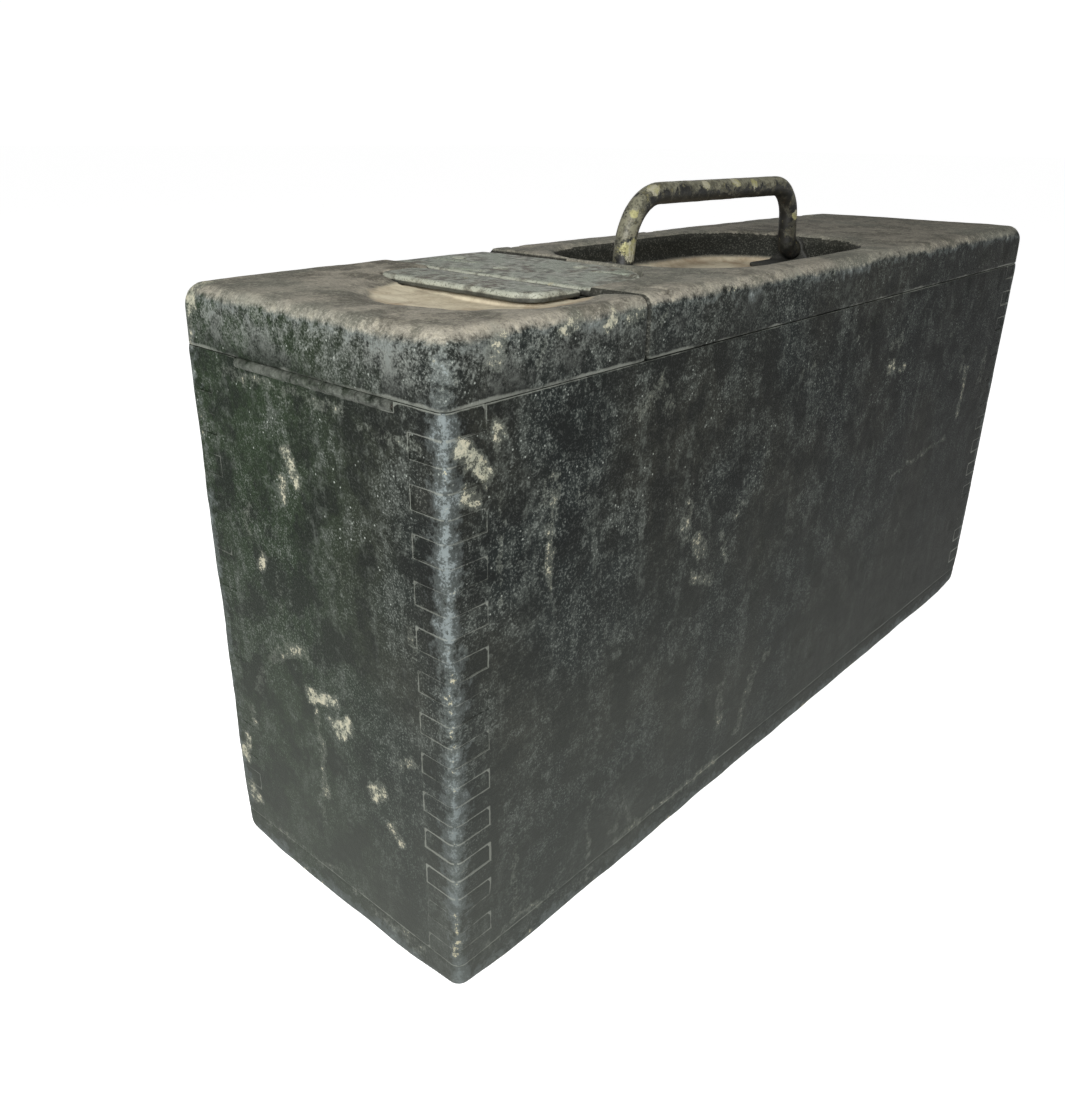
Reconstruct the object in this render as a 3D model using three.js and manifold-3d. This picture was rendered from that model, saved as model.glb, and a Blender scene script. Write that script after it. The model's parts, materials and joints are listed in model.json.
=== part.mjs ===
// A narrow wooden carrying case with finger-jointed corners, a hinged lid over one end of its
// top, a thumb latch, and a folding bail handle that lies in a recess of the fixed top board.
// Millimetres, +Z up, +X along the long side, the front long face at -Y.
// The origin is the middle of the bottom face.

import * as THREE from 'three'
import { mergeVertices } from 'three/addons/utils/BufferGeometryUtils.js'
import Module from 'manifold-3d'

const wasm = await Module()
wasm.setup()

// ---- driving dimensions -------------------------------------------------------------------

const LENGTH = 412
const WIDTH = 117
const HEIGHT = 205
const CAP_T = 19 // thickness of the top board and the lid
const BOTTOM_T = 11
const LONG_WALL_T = 13 // front and rear walls
const END_WALL_T = 14.4
const EDGE_BEVEL = 3 // roundness of the long edges, top and bottom
const CORNER_R = 4 // roundness of the upright corners
const FINGERS = 26 // fingers up one corner, counting both walls
const GAP = 0.3 // between pieces that touch
const SPLIT_X = -125 // where the lid meets the fixed top board

const RECESS = { halfX: 71.5, halfY: 42, cornerR: 36, depth: 13.5 }
const PIVOT_Z = 198.5 // handle pivots
const ROD_R = 4
const BAR_Z = 226.5 // centre of the grip bar
const FOOT_X = 61.8
const ELBOW_X = 58.5
const ELBOW_R = { left: 20, right: 15 }
const FOOT_R = 5
const STUB_END_X = 71

const BRACKET = { innerX: 47, outerX: 69.8, t: 2, earT: 3, halfY: 10, earR: 5.7 }
const BOLT = { x: 52.5, y: 5.5, r: 2, headR: 3.6, headH: 1.8, nutR: 4, nutH: 3.2 }
const BATTEN = { halfX: 66, halfY: 20, t: 12 }

const HINGE = { x: -205.2, z: 184.5, y: -5, length: 70, r: 1.5, pinR: 0.7, leafT: 1, knuckles: 5 }
const LEAF_END_X = -192.4
const LEAF_SCREW = { x: -197.3, y: 24, r: 1.1, headR: 2.2, headH: 0.9, length: 13 }

const LEVER = { leftX: -150, rightX: -126.4, frontY: -35, rearY: 34, t: 3 }
const LEVER_PIVOT = { x: -129.9, z: 199.2, pinR: 1.1, bossR: 2.6, pinHalf: 27 }
const EAR = { y: 20, t: 3 }
const TAIL = { halfY: 6, t: 3, bottomZ: 188.5 }
const TAIL_SLOT = { leftX: -139, halfY: 8 }
// Strips bent in XZ: topZ, bendZ and footZ are on the fixed leg, and tipZ ends the free one.
const CATCH_SPRING = { t: 0.8, halfY: 5, topZ: 196.4, bendZ: 190.2, footZ: 188.9, noseZ: 190.9,
  noseReach: 2.4, tipZ: 192.9 }
const LEVER_SPRING = { t: 0.6, halfY: 4, topZ: 198.5, bendZ: 190.4, footZ: 188.9, touchZ: 193,
  tipZ: 195.4 }
const SCOOP = { x: -146, y: -12, radiusX: 37, radiusY: 37, depth: 5, underLever: 2.5 }

const KEEPER = { leftX: -124.4, rightX: -77.5, frontY: -35, t: 3, cornerR: 30, sink: 0.5 }
const KEEPER_SCREWS = [[-110, 15], [-88, -2], [-100, 46]]
const GROOVE = { x: -75, halfX: 2.5, startY: 14, depth: 3 }
const STRIKE = { halfY: 14, bottomZ: 193.5, topZ: 201, t: 1.2, screwY: 10, screwZ: 197.5 }
const STRIKE_POCKET = { halfY: 7, depth: 4, bottomZ: 187.5 }

// Places along X, and the side each is on: -1 front, 1 rear.
const TOP_SCREWS = [[-115, -1], [-60, 1], [32, -1], [32, 1], [179, -1], [179, 1]]
const BOTTOM_SCREW_XS = [-150, 0, 150]
const WALL_SCREW_Y = 51.8
const WALL_SCREW = { r: 1.5, headR: 3.2, headH: 2.4, length: 36 }
const PLUG = { r: 4.6, t: 4 }
const LID_BATTEN = { leftX: -184, rightX: -170, halfY: 42, t: 10, screwY: 28 }

const CAP_Z = HEIGHT - CAP_T
const HALF_L = LENGTH / 2
const HALF_W = WIDTH / 2
const FLOOR_Z = HEIGHT - RECESS.depth
const WALL_BOTTOM = BOTTOM_T + GAP / 2
const WALL_TOP = CAP_Z - GAP / 2
const BOARD_BOTTOM = CAP_Z + GAP / 2
const FINGER_H = (CAP_Z - BOTTOM_T) / FINGERS

// ---- materials ----------------------------------------------------------------------------

const paint = (color, roughness, metalness) => () =>
  new THREE.MeshStandardMaterial({ color, roughness, metalness })
const paintedWood = paint(0x2c312d, 0.75, 0)
const wornTopWood = paint(0x5b564d, 0.8, 0)
const bareWood = paint(0x8a7455, 0.85, 0)
const paintedSteel = paint(0x2a2c24, 0.55, 0.5)
const bareSteel = paint(0x77746c, 0.45, 0.9)

// ---- solids -------------------------------------------------------------------------------

function solid(geometry) {
  const bare = geometry.clone()
  bare.deleteAttribute('normal')
  bare.deleteAttribute('uv')
  const merged = mergeVertices(bare, 1e-4)
  const vertProperties = new Float32Array(merged.attributes.position.array)
  const triVerts = new Uint32Array(merged.index.array)
  return new wasm.Manifold(new wasm.Mesh({ numProp: 3, vertProperties, triVerts }))
}

function piece(name, body, material) {
  const { vertProperties, triVerts } = body.getMesh()
  const geometry = new THREE.BufferGeometry()
  geometry.setAttribute('position', new THREE.BufferAttribute(vertProperties, 3))
  geometry.setIndex(new THREE.BufferAttribute(triVerts, 1))
  geometry.computeVertexNormals()
  const mesh = new THREE.Mesh(geometry, material())
  mesh.name = name
  return mesh
}

const join = (bodies) => bodies.reduce((whole, body) => whole.add(body))
const cut = (body, tools) => tools.reduce((left, tool) => left.subtract(tool), body)

function box(x0, x1, y0, y1, z0, z1) {
  const geometry = new THREE.BoxGeometry(x1 - x0, y1 - y0, z1 - z0)
  return solid(geometry.translate((x0 + x1) / 2, (y0 + y1) / 2, (z0 + z1) / 2))
}

// A round bar from start to end along one axis.
function rod(axis, radius, start, end, sides = 10) {
  const length = end - start
  const geometry = new THREE.CylinderGeometry(radius, radius, length, sides)
  if (axis === 'x') geometry.rotateZ(Math.PI / 2)
  if (axis === 'z') geometry.rotateX(Math.PI / 2)
  const middle = (start + end) / 2
  const shift = { x: [middle, 0, 0], y: [0, middle, 0], z: [0, 0, middle] }[axis]
  return solid(geometry.translate(...shift))
}

const at = (body, x, y, z) => body.translate([x, y, z])

// A flat outline in XY, standing from z0 to z1.
function slab(shape, z0, z1, curveSegments = 6) {
  const geometry = new THREE.ExtrudeGeometry(shape, {
    depth: z1 - z0,
    bevelEnabled: false,
    curveSegments,
  })
  return solid(geometry.translate(0, 0, z0))
}

// An outline drawn with x along X and y along Z, running from y0 to y1 along Y.
function sideProfile(shape, y0, y1, curveSegments = 6) {
  const geometry = new THREE.ExtrudeGeometry(shape, {
    depth: y1 - y0,
    bevelEnabled: false,
    curveSegments,
  })
  return solid(geometry.rotateX(Math.PI / 2).translate(0, y1, 0))
}

// A rectangle with its own radius at each corner: front left, front right, rear right, rear left.
function roundedRect(x0, x1, y0, y1, radii) {
  const [fl, fr, rr, rl] = radii
  const shape = new THREE.Shape()
  shape.moveTo(x0 + fl, y0)
  shape.lineTo(x1 - fr, y0)
  if (fr) shape.absarc(x1 - fr, y0 + fr, fr, -Math.PI / 2, 0, false)
  shape.lineTo(x1, y1 - rr)
  if (rr) shape.absarc(x1 - rr, y1 - rr, rr, 0, Math.PI / 2, false)
  shape.lineTo(x0 + rl, y1)
  if (rl) shape.absarc(x0 + rl, y1 - rl, rl, Math.PI / 2, Math.PI, false)
  shape.lineTo(x0, y0 + fl)
  if (fl) shape.absarc(x0 + fl, y0 + fl, fl, Math.PI, Math.PI * 1.5, false)
  return shape
}

// A strip of leaf spring: a band of one thickness along a line of points in XZ.
function leaf(points, thickness, y0, y1) {
  const sides = [1, -1].map((side) =>
    points.map((point, i) => {
      const before = points[Math.max(i - 1, 0)]
      const after = points[Math.min(i + 1, points.length - 1)]
      const along = new THREE.Vector2(after[0] - before[0], after[1] - before[1]).normalize()
      const offset = (side * thickness) / 2
      return new THREE.Vector2(point[0] - along.y * offset, point[1] + along.x * offset)
    }),
  )
  return sideProfile(new THREE.Shape([...sides[0], ...sides[1].reverse()]), y0, y1)
}

// A countersunk screw with its head's flat face at z = 0 and its shank running down -Z.
function screwBody({ r, headR, headH, length }, grow = 0) {
  const rim = 0.3 // straight part of the head's edge
  const profile = [
    [0, grow],
    [headR + grow, grow],
    [headR + grow, -rim],
    [r + grow, -headH - grow],
    [r + grow, -length + 2 * r],
    [0, -length - grow],
  ]
  const points = profile.map(([x, y]) => new THREE.Vector2(x, y))
  const sides = 8
  return solid(new THREE.LatheGeometry(points.reverse(), sides).rotateX(Math.PI / 2))
}

const screwUp = (size, grow) => screwBody(size, grow).rotate([180, 0, 0])
const screwLeft = (size, grow) => screwBody(size, grow).rotate([0, -90, 0])

// The outer form of the whole case, with its edges and corners worn round.
function wornEnvelope() {
  const b = EDGE_BEVEL
  const r = CORNER_R - b
  const shape = roundedRect(-HALF_L + b, HALF_L - b, -HALF_W + b, HALF_W - b, [r, r, r, r])
  const geometry = new THREE.ExtrudeGeometry(shape, {
    depth: HEIGHT - 2 * b,
    bevelThickness: b,
    bevelSize: b,
    bevelSegments: 2,
    curveSegments: 1,
  })
  return solid(geometry.translate(0, 0, b))
}

const envelope = wornEnvelope()

// ---- fasteners and the holes they need ------------------------------------------------------

const bothSides = [-1, 1]
const SCREW_TOP_Z = HEIGHT - PLUG.t - 2 * GAP
const topScrewPlaces = TOP_SCREWS.map(([x, side]) => [x, side * WALL_SCREW_Y])
const bottomScrewPlaces = BOTTOM_SCREW_XS.flatMap((x) =>
  bothSides.map((side) => [x, side * WALL_SCREW_Y]),
)
const boltPlaces = bothSides.flatMap((end) => bothSides.map((side) => [end * BOLT.x, side * BOLT.y]))
const leafScrewPlaces = bothSides.map((side) => [LEAF_SCREW.x, HINGE.y + side * LEAF_SCREW.y])
const keeperSize = { r: 1.3, headR: 2.8, headH: 1.6, length: 14 }
const strikeSize = { r: 1.1, headR: 2, headH: 0.9, length: 12 }
const lidBattenSize = { r: 1.4, headR: 2.8, headH: 1.8, length: 20 }
const KEEPER_TOP = HEIGHT - KEEPER.sink
const BOX_LEAF_TOP = HINGE.z - 0.5
const LID_LEAF_BOTTOM = HINGE.z + 0.3
const STRIKE_FACE_X = SPLIT_X + GAP
const BOLT_TOP_Z = FLOOR_Z + GAP + BRACKET.t - 0.1

const topScrews = (grow) =>
  topScrewPlaces.map(([x, y]) => at(screwBody(WALL_SCREW, grow), x, y, SCREW_TOP_Z))
const bottomScrews = (grow) =>
  bottomScrewPlaces.map(([x, y]) => at(screwUp(WALL_SCREW, grow), x, y, 0.3))
const boxLeafScrews = (grow) =>
  leafScrewPlaces.map(([x, y]) => at(screwBody(LEAF_SCREW, grow), x, y, BOX_LEAF_TOP))
const lidLeafScrews = (grow) =>
  leafScrewPlaces.map(([x, y]) => at(screwUp(LEAF_SCREW, grow), x, y, LID_LEAF_BOTTOM))
const keeperScrews = (grow) =>
  KEEPER_SCREWS.map(([x, y]) => at(screwBody(keeperSize, grow), x, y, KEEPER_TOP))
const strikeScrews = (grow) =>
  bothSides.map((side) =>
    at(screwLeft(strikeSize, grow), STRIKE_FACE_X, side * STRIKE.screwY, STRIKE.screwZ),
  )
const lidBattenScrews = (grow) =>
  bothSides.map((side) =>
    at(
      screwUp(lidBattenSize, grow),
      (LID_BATTEN.leftX + LID_BATTEN.rightX) / 2,
      side * LID_BATTEN.screwY,
      WALL_TOP - LID_BATTEN.t,
    ),
  )

function bolts(grow) {
  const length = BOLT_TOP_Z - (WALL_TOP - BATTEN.t - BOLT.nutH - 2)
  const head = { r: BOLT.r, headR: BOLT.headR, headH: BOLT.headH, length }
  return boltPlaces.map(([x, y]) => at(screwBody(head, grow), x, y, BOLT_TOP_Z))
}

function plugs(grow) {
  return topScrewPlaces.map(([x, y]) => {
    const size = PLUG.r + grow
    return at(rod('z', size, HEIGHT - PLUG.t - grow, HEIGHT - 0.2 + grow), x, y, 0)
  })
}

// ---- the box --------------------------------------------------------------------------------

const fingerZ = (k) => BOTTOM_T + k * FINGER_H
const isEndWallFinger = (k) => k % 2 === 1

function fingerNotches(wanted, along, across) {
  const notches = []
  for (let k = 0; k < FINGERS; k += 1) {
    if (!wanted(k)) continue
    const low = k === 0 ? fingerZ(k) - 1 : fingerZ(k) - GAP / 2
    const high = k === FINGERS - 1 ? fingerZ(k + 1) + 1 : fingerZ(k + 1) + GAP / 2
    for (const side of bothSides) {
      const [near, far] = side > 0 ? [along, along + 50] : [-along - 50, -along]
      notches.push(across === 'y' ? box(near, far, -100, 100, low, high)
        : box(-300, 300, near, far, low, high))
    }
  }
  return notches
}

function longWall(side) {
  const [y0, y1] = side < 0 ? [-HALF_W, -HALF_W + LONG_WALL_T] : [HALF_W - LONG_WALL_T, HALF_W]
  const board = box(-HALF_L, HALF_L, y0, y1, WALL_BOTTOM, WALL_TOP).intersect(envelope)
  const notches = fingerNotches(isEndWallFinger, HALF_L - END_WALL_T - GAP, 'y')
  return cut(board, [...notches, ...topScrews(GAP), ...bottomScrews(GAP)])
}

function endWall(side) {
  const [x0, x1] = side < 0 ? [-HALF_L, -HALF_L + END_WALL_T] : [HALF_L - END_WALL_T, HALF_L]
  const board = box(x0, x1, -HALF_W, HALF_W, WALL_BOTTOM, WALL_TOP).intersect(envelope)
  const notches = fingerNotches((k) => !isEndWallFinger(k), HALF_W - LONG_WALL_T - GAP, 'x')
  return cut(board, notches)
}

function hingeEndWall() {
  const half = HINGE.length / 2 + GAP
  const rebate = box(-HALF_L - 1, -HALF_L + END_WALL_T + 1, HINGE.y - half, HINGE.y + half,
    HINGE.z - HINGE.r - GAP, HEIGHT)
  return cut(endWall(-1), [rebate, ...boxLeafScrews(GAP)])
}

function bottomBoard() {
  const board = box(-HALF_L, HALF_L, -HALF_W, HALF_W, 0, BOTTOM_T - GAP / 2).intersect(envelope)
  return cut(board, bottomScrews(GAP))
}

// ---- the fixed top board and what is let into it -----------------------------------------------

function recessTool() {
  const { halfX, halfY, cornerR: r } = RECESS
  return slab(roundedRect(-halfX, halfX, -halfY, halfY, [r, r, r, r]), FLOOR_Z, HEIGHT + 5, 5)
}

function keeperOutline(grow) {
  const left = KEEPER.leftX - 10 * grow
  return roundedRect(left, KEEPER.rightX + grow, KEEPER.frontY - grow, HALF_W + 10 * grow,
    [0, KEEPER.cornerR, 0, 0])
}

function fixedTop() {
  const board = box(SPLIT_X + GAP, HALF_L, -HALF_W, HALF_W, BOARD_BOTTOM, HEIGHT).intersect(envelope)
  const groove = box(GROOVE.x - GROOVE.halfX, GROOVE.x + GROOVE.halfX, GROOVE.startY, HALF_W + 5,
    HEIGHT - GROOVE.depth, HEIGHT + 5)
  const keeperRecess = slab(keeperOutline(GAP), KEEPER_TOP - KEEPER.t - GAP, HEIGHT + 5)
  const strikeRecess = box(SPLIT_X - 5, STRIKE_FACE_X + STRIKE.t + GAP, -STRIKE.halfY - GAP,
    STRIKE.halfY + GAP, STRIKE.bottomZ - GAP, STRIKE.topZ + GAP)
  const nosePocket = box(SPLIT_X - 5, STRIKE_FACE_X + STRIKE_POCKET.depth, -STRIKE_POCKET.halfY,
    STRIKE_POCKET.halfY, STRIKE_POCKET.bottomZ, STRIKE.bottomZ + 2)
  return cut(board, [recessTool(), groove, keeperRecess, strikeRecess, nosePocket,
    ...topScrews(GAP), ...plugs(GAP), ...bolts(GAP), ...keeperScrews(GAP), ...strikeScrews(GAP)])
}

function keeperPlate() {
  const plate = slab(keeperOutline(0), KEEPER_TOP - KEEPER.t, KEEPER_TOP)
  return cut(plate.intersect(envelope), keeperScrews(0.2))
}

function strikePlate() {
  const plate = box(STRIKE_FACE_X + 0.1, STRIKE_FACE_X + STRIKE.t, -STRIKE.halfY, STRIKE.halfY,
    STRIKE.bottomZ, STRIKE.topZ)
  return cut(plate, strikeScrews(0.2))
}

function handleBatten() {
  const { halfX, halfY, t } = BATTEN
  const board = box(-halfX, halfX, -halfY, halfY, WALL_TOP - t, WALL_TOP)
  return cut(board, bolts(GAP))
}

function nut([x, y]) {
  const top = WALL_TOP - BATTEN.t - GAP
  const hexagon = rod('z', BOLT.nutR, top - BOLT.nutH, top, 6)
  const hole = rod('z', BOLT.r + GAP, top - BOLT.nutH - 1, top + 1, 8)
  return at(hexagon.subtract(hole), x, y, 0)
}

// ---- the bail handle and its brackets -------------------------------------------------------------

function bracket(end) {
  const bottom = FLOOR_Z + GAP
  const { innerX, outerX, t, earT, halfY, earR } = BRACKET
  const base = box(innerX, outerX, -halfY, halfY, bottom, bottom + t)
  const ear = new THREE.Shape()
  ear.moveTo(-halfY, bottom)
  ear.lineTo(halfY, bottom)
  ear.lineTo(halfY, bottom + t)
  ear.lineTo(earR, PIVOT_Z)
  ear.absarc(0, PIVOT_Z, earR, 0, Math.PI, false)
  ear.lineTo(-halfY, bottom + t)
  const geometry = new THREE.ExtrudeGeometry(ear, { depth: earT, bevelEnabled: false })
  geometry.rotateX(Math.PI / 2).rotateZ(Math.PI / 2)
  const upright = solid(geometry.translate(outerX - earT, 0, 0))
  const hole = at(rod('x', ROD_R + 0.25, outerX - earT - 1, outerX + 1, 20), 0, 0, PIVOT_Z)
  const whole = base.add(upright).subtract(hole)
  const placed = end > 0 ? whole : whole.mirror([1, 0, 0])
  return cut(placed, bolts(0.2))
}

// A line through corner points with each corner turned to its own radius.
function bentLine(corners) {
  const path = new THREE.CurvePath()
  let from = corners[0].point
  for (let i = 1; i < corners.length - 1; i += 1) {
    const { point, r } = corners[i]
    const back = corners[i - 1].point.clone().sub(point).normalize()
    const onward = corners[i + 1].point.clone().sub(point).normalize()
    const half = back.angleTo(onward) / 2
    const trim = r / Math.tan(half)
    const start = point.clone().addScaledVector(back, trim)
    const end = point.clone().addScaledVector(onward, trim)
    const centre = point.clone().add(back.clone().add(onward).normalize()
      .multiplyScalar(r / Math.sin(half)))
    path.add(new THREE.LineCurve3(from, start))
    path.add(new BendCurve(centre, start, end))
    from = end
  }
  path.add(new THREE.LineCurve3(from, corners.at(-1).point))
  return path
}

class BendCurve extends THREE.Curve {
  constructor(centre, start, end) {
    super()
    this.centre = centre
    this.first = start.clone().sub(centre)
    this.last = end.clone().sub(centre)
    this.angle = this.first.angleTo(this.last)
  }

  getPoint(t, target = new THREE.Vector3()) {
    const a = Math.sin((1 - t) * this.angle) / Math.sin(this.angle)
    const b = Math.sin(t * this.angle) / Math.sin(this.angle)
    return target.copy(this.centre).addScaledVector(this.first, a).addScaledVector(this.last, b)
  }
}

function handleBail() {
  const corner = (x, z, r) => ({ point: new THREE.Vector3(x, 0, z), r })
  const path = bentLine([
    corner(-STUB_END_X, PIVOT_Z, 0),
    corner(-FOOT_X, PIVOT_Z, FOOT_R),
    corner(-ELBOW_X, BAR_Z, ELBOW_R.left),
    corner(ELBOW_X, BAR_Z, ELBOW_R.right),
    corner(FOOT_X, PIVOT_Z, FOOT_R),
    corner(STUB_END_X, PIVOT_Z, 0),
  ])
  const section = new THREE.Shape().absarc(0, 0, ROD_R, 0, 2 * Math.PI, false)
  return solid(new THREE.ExtrudeGeometry(section, {
    steps: 52,
    curveSegments: 6,
    bevelEnabled: false,
    extrudePath: path,
  }))
}

// ---- the lid hinge -----------------------------------------------------------------------------

const KNUCKLE = HINGE.length / HINGE.knuckles
const isBoxKnuckle = (k) => k % 2 === 0

function hingeLeaf(ofBox) {
  const y0 = HINGE.y - HINGE.length / 2
  const top = ofBox ? BOX_LEAF_TOP : LID_LEAF_BOTTOM + HINGE.leafT
  const bottom = top - HINGE.leafT
  const clearX = HINGE.x + HINGE.r + GAP
  const bodies = [box(clearX, LEAF_END_X, y0, y0 + HINGE.length, bottom, top)]
  for (let k = 0; k < HINGE.knuckles; k += 1) {
    if (isBoxKnuckle(k) !== ofBox) continue
    const start = y0 + k * KNUCKLE + GAP / 2
    const end = start + KNUCKLE - GAP
    bodies.push(at(rod('y', HINGE.r, start, end), HINGE.x, 0, HINGE.z))
    bodies.push(box(HINGE.x, clearX + 0.5, start, end, bottom, top))
  }
  const bore = at(rod('y', HINGE.pinR + 0.12, y0 - 1, y0 + HINGE.length + 1), HINGE.x, 0, HINGE.z)
  return cut(join(bodies), [bore, ...(ofBox ? boxLeafScrews(0.2) : lidLeafScrews(0.2))])
}

function hingePin() {
  const half = HINGE.length / 2 - 0.5
  return at(rod('y', HINGE.pinR, HINGE.y - half, HINGE.y + half), HINGE.x, 0, HINGE.z)
}

// ---- the lid and its thumb latch -----------------------------------------------------------------

// The finger scoop reaches only a little way under the lever's edge.
function scoopTool() {
  const geometry = new THREE.SphereGeometry(1, 20, 12).rotateX(Math.PI / 2)
  geometry.scale(SCOOP.radiusX, SCOOP.radiusY, SCOOP.depth)
  const hollow = solid(geometry.translate(SCOOP.x, SCOOP.y, HEIGHT))
  return hollow.subtract(slab(leverOutline(-SCOOP.underLever), CAP_Z, HEIGHT + 5))
}

function leverOutline(grow) {
  const { leftX, rightX, frontY, rearY } = LEVER
  return roundedRect(leftX - grow, rightX + grow, frontY - grow, rearY + grow, [9, 2, 2, 6])
}

function lidBoard() {
  const end = SPLIT_X
  const board = box(-HALF_L, end, -HALF_W, HALF_W, BOARD_BOTTOM, HEIGHT).intersect(envelope)
  const pocketFloor = HEIGHT - LEVER.t - GAP
  const pocket = slab(leverOutline(GAP), pocketFloor, HEIGHT + 5)
  // The floor steps down past the pivot, where the lever's short end dips as its long end lifts.
  const pocketSteps = [[LEVER_PIVOT.x - 0.7, 0.6], [LEVER_PIVOT.x + 1.5, 1.8]].map(([x, drop]) =>
    box(x, end + 5, LEVER.frontY - GAP, LEVER.rearY + GAP, pocketFloor - drop, HEIGHT + 5))
  const earSlots = bothSides.map((side) => {
    const half = EAR.t / 2 + GAP
    const bottom = LEVER_PIVOT.z - LEVER_PIVOT.bossR - GAP
    return box(LEVER_PIVOT.x - LEVER_PIVOT.bossR - GAP, end + 5, side * EAR.y - half,
      side * EAR.y + half, bottom, HEIGHT)
  })
  const tailSlot = box(TAIL_SLOT.leftX, end + 5, -TAIL_SLOT.halfY, TAIL_SLOT.halfY,
    BOARD_BOTTOM - 5, HEIGHT)
  const pinHole = at(rod('y', LEVER_PIVOT.pinR + 0.2, -LEVER_PIVOT.pinHalf - GAP,
    LEVER_PIVOT.pinHalf + GAP), LEVER_PIVOT.x, 0, LEVER_PIVOT.z)
  return cut(board, [scoopTool(), pocket, ...pocketSteps, ...earSlots, tailSlot, pinHole,
    ...lidLeafScrews(GAP), ...lidBattenScrews(GAP)])
}

function lidBatten() {
  const { leftX, rightX, halfY, t } = LID_BATTEN
  return cut(box(leftX, rightX, -halfY, halfY, WALL_TOP - t, WALL_TOP), lidBattenScrews(0.2))
}

function thumbLever() {
  const plateBottom = HEIGHT - LEVER.t
  const { x, z, bossR, pinR } = LEVER_PIVOT
  const plate = slab(leverOutline(0), plateBottom, HEIGHT)
  const outline = new THREE.Shape([
    new THREE.Vector2(LEVER.leftX - 1, plateBottom - 1),
    new THREE.Vector2(LEVER.rightX + 1, plateBottom - 1),
    new THREE.Vector2(LEVER.rightX + 1, HEIGHT - 2),
    new THREE.Vector2(LEVER.rightX - 0.6, HEIGHT - 0.6),
    new THREE.Vector2(LEVER.rightX - 2, HEIGHT + 1),
    new THREE.Vector2(LEVER.leftX - 1, HEIGHT + 1),
  ])
  const easedPlate = plate.intersect(sideProfile(outline, -100, 100))
  const ears = bothSides.flatMap((side) => {
    const [y0, y1] = [side * EAR.y - EAR.t / 2, side * EAR.y + EAR.t / 2]
    return [at(rod('y', bossR, y0, y1), x, 0, z), box(x - bossR, x + bossR, y0, y1, z, plateBottom + 1)]
  })
  const tail = box(x - TAIL.t / 2, x + TAIL.t / 2, -TAIL.halfY, TAIL.halfY, TAIL.bottomZ, plateBottom + 1)
  const boss = at(rod('y', bossR, -TAIL.halfY, TAIL.halfY), x, 0, z)
  const bore = at(rod('y', pinR + 0.12, -EAR.y - 5, EAR.y + 5), x, 0, z)
  return join([easedPlate, ...ears, tail, boss]).subtract(bore)
}

function leverPin() {
  const { x, z, pinR, pinHalf } = LEVER_PIVOT
  return at(rod('y', pinR, -pinHalf, pinHalf), x, 0, z)
}

function catchSpring() {
  const { t, halfY, topZ, bendZ, footZ, noseZ, noseReach, tipZ } = CATCH_SPRING
  const base = LEVER_PIVOT.x + TAIL.t / 2 + GAP + t / 2
  const noseX = STRIKE_FACE_X + noseReach
  return leaf([
    [base, topZ],
    [base, bendZ],
    [base + 0.8, footZ],
    [noseX - 1.6, footZ + 0.5],
    [noseX, noseZ],
    [noseX - 1.4, noseZ + 1.4],
    [noseX - 3.6, tipZ],
  ], t, -halfY, halfY)
}

function leverSpring() {
  const { t, halfY, topZ, bendZ, footZ, touchZ, tipZ } = LEVER_SPRING
  const wall = TAIL_SLOT.leftX + GAP + t / 2
  const tailFace = LEVER_PIVOT.x - TAIL.t / 2 - GAP - t / 2
  return leaf([
    [wall, topZ],
    [wall, bendZ],
    [wall + 1.4, footZ],
    [wall + 3.4, footZ + 0.3],
    [tailFace, touchZ],
    [tailFace - 0.6, tipZ],
  ], t, -halfY, halfY)
}

// ---- the assembled case ------------------------------------------------------------------------

const numbered = (name, bodies, material) =>
  bodies.map((body, i) => piece(`${name}_${i + 1}`, body, material))

const group = new THREE.Group()
group.add(
  piece('bottom_board', bottomBoard(), paintedWood),
  piece('front_wall', longWall(-1), paintedWood),
  piece('rear_wall', longWall(1), paintedWood),
  piece('hinge_end_wall', hingeEndWall(), paintedWood),
  piece('far_end_wall', endWall(1), paintedWood),
  piece('fixed_top', fixedTop(), wornTopWood),
  piece('handle_batten', handleBatten(), bareWood),
  piece('handle_bracket_left', bracket(-1), paintedSteel),
  piece('handle_bracket_right', bracket(1), paintedSteel),
  piece('handle_bail', handleBail(), paintedSteel),
  piece('keeper_plate', keeperPlate(), paintedSteel),
  piece('strike_plate', strikePlate(), bareSteel),
  piece('hinge_leaf_box', hingeLeaf(true), paintedSteel),
  piece('hinge_leaf_lid', hingeLeaf(false), paintedSteel),
  piece('hinge_pin', hingePin(), bareSteel),
  piece('lid_board', lidBoard(), wornTopWood),
  piece('lid_batten', lidBatten(), bareWood),
  piece('thumb_lever', thumbLever(), paintedSteel),
  piece('lever_pin', leverPin(), bareSteel),
  piece('catch_spring', catchSpring(), bareSteel),
  piece('lever_spring', leverSpring(), bareSteel),
  ...numbered('top_screw', topScrews(0), bareSteel),
  ...numbered('top_plug', plugs(0).map((plug) => plug.intersect(envelope)), wornTopWood),
  ...numbered('bottom_screw', bottomScrews(0), bareSteel),
  ...numbered('bracket_bolt', bolts(0), bareSteel),
  ...numbered('bracket_nut', boltPlaces.map(nut), bareSteel),
  ...numbered('box_leaf_screw', boxLeafScrews(0), bareSteel),
  ...numbered('lid_leaf_screw', lidLeafScrews(0), bareSteel),
  ...numbered('keeper_screw', keeperScrews(0), paintedSteel),
  ...numbered('strike_screw', strikeScrews(0), bareSteel),
  ...numbered('lid_batten_screw', lidBattenScrews(0), bareSteel),
)

export default group
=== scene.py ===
"""Looks of a worn wooden carrying case with a bail handle, built round the fixed CAD frame."""

import json
import math

import bpy
import numpy as np
from mathutils import Matrix, Vector

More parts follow.
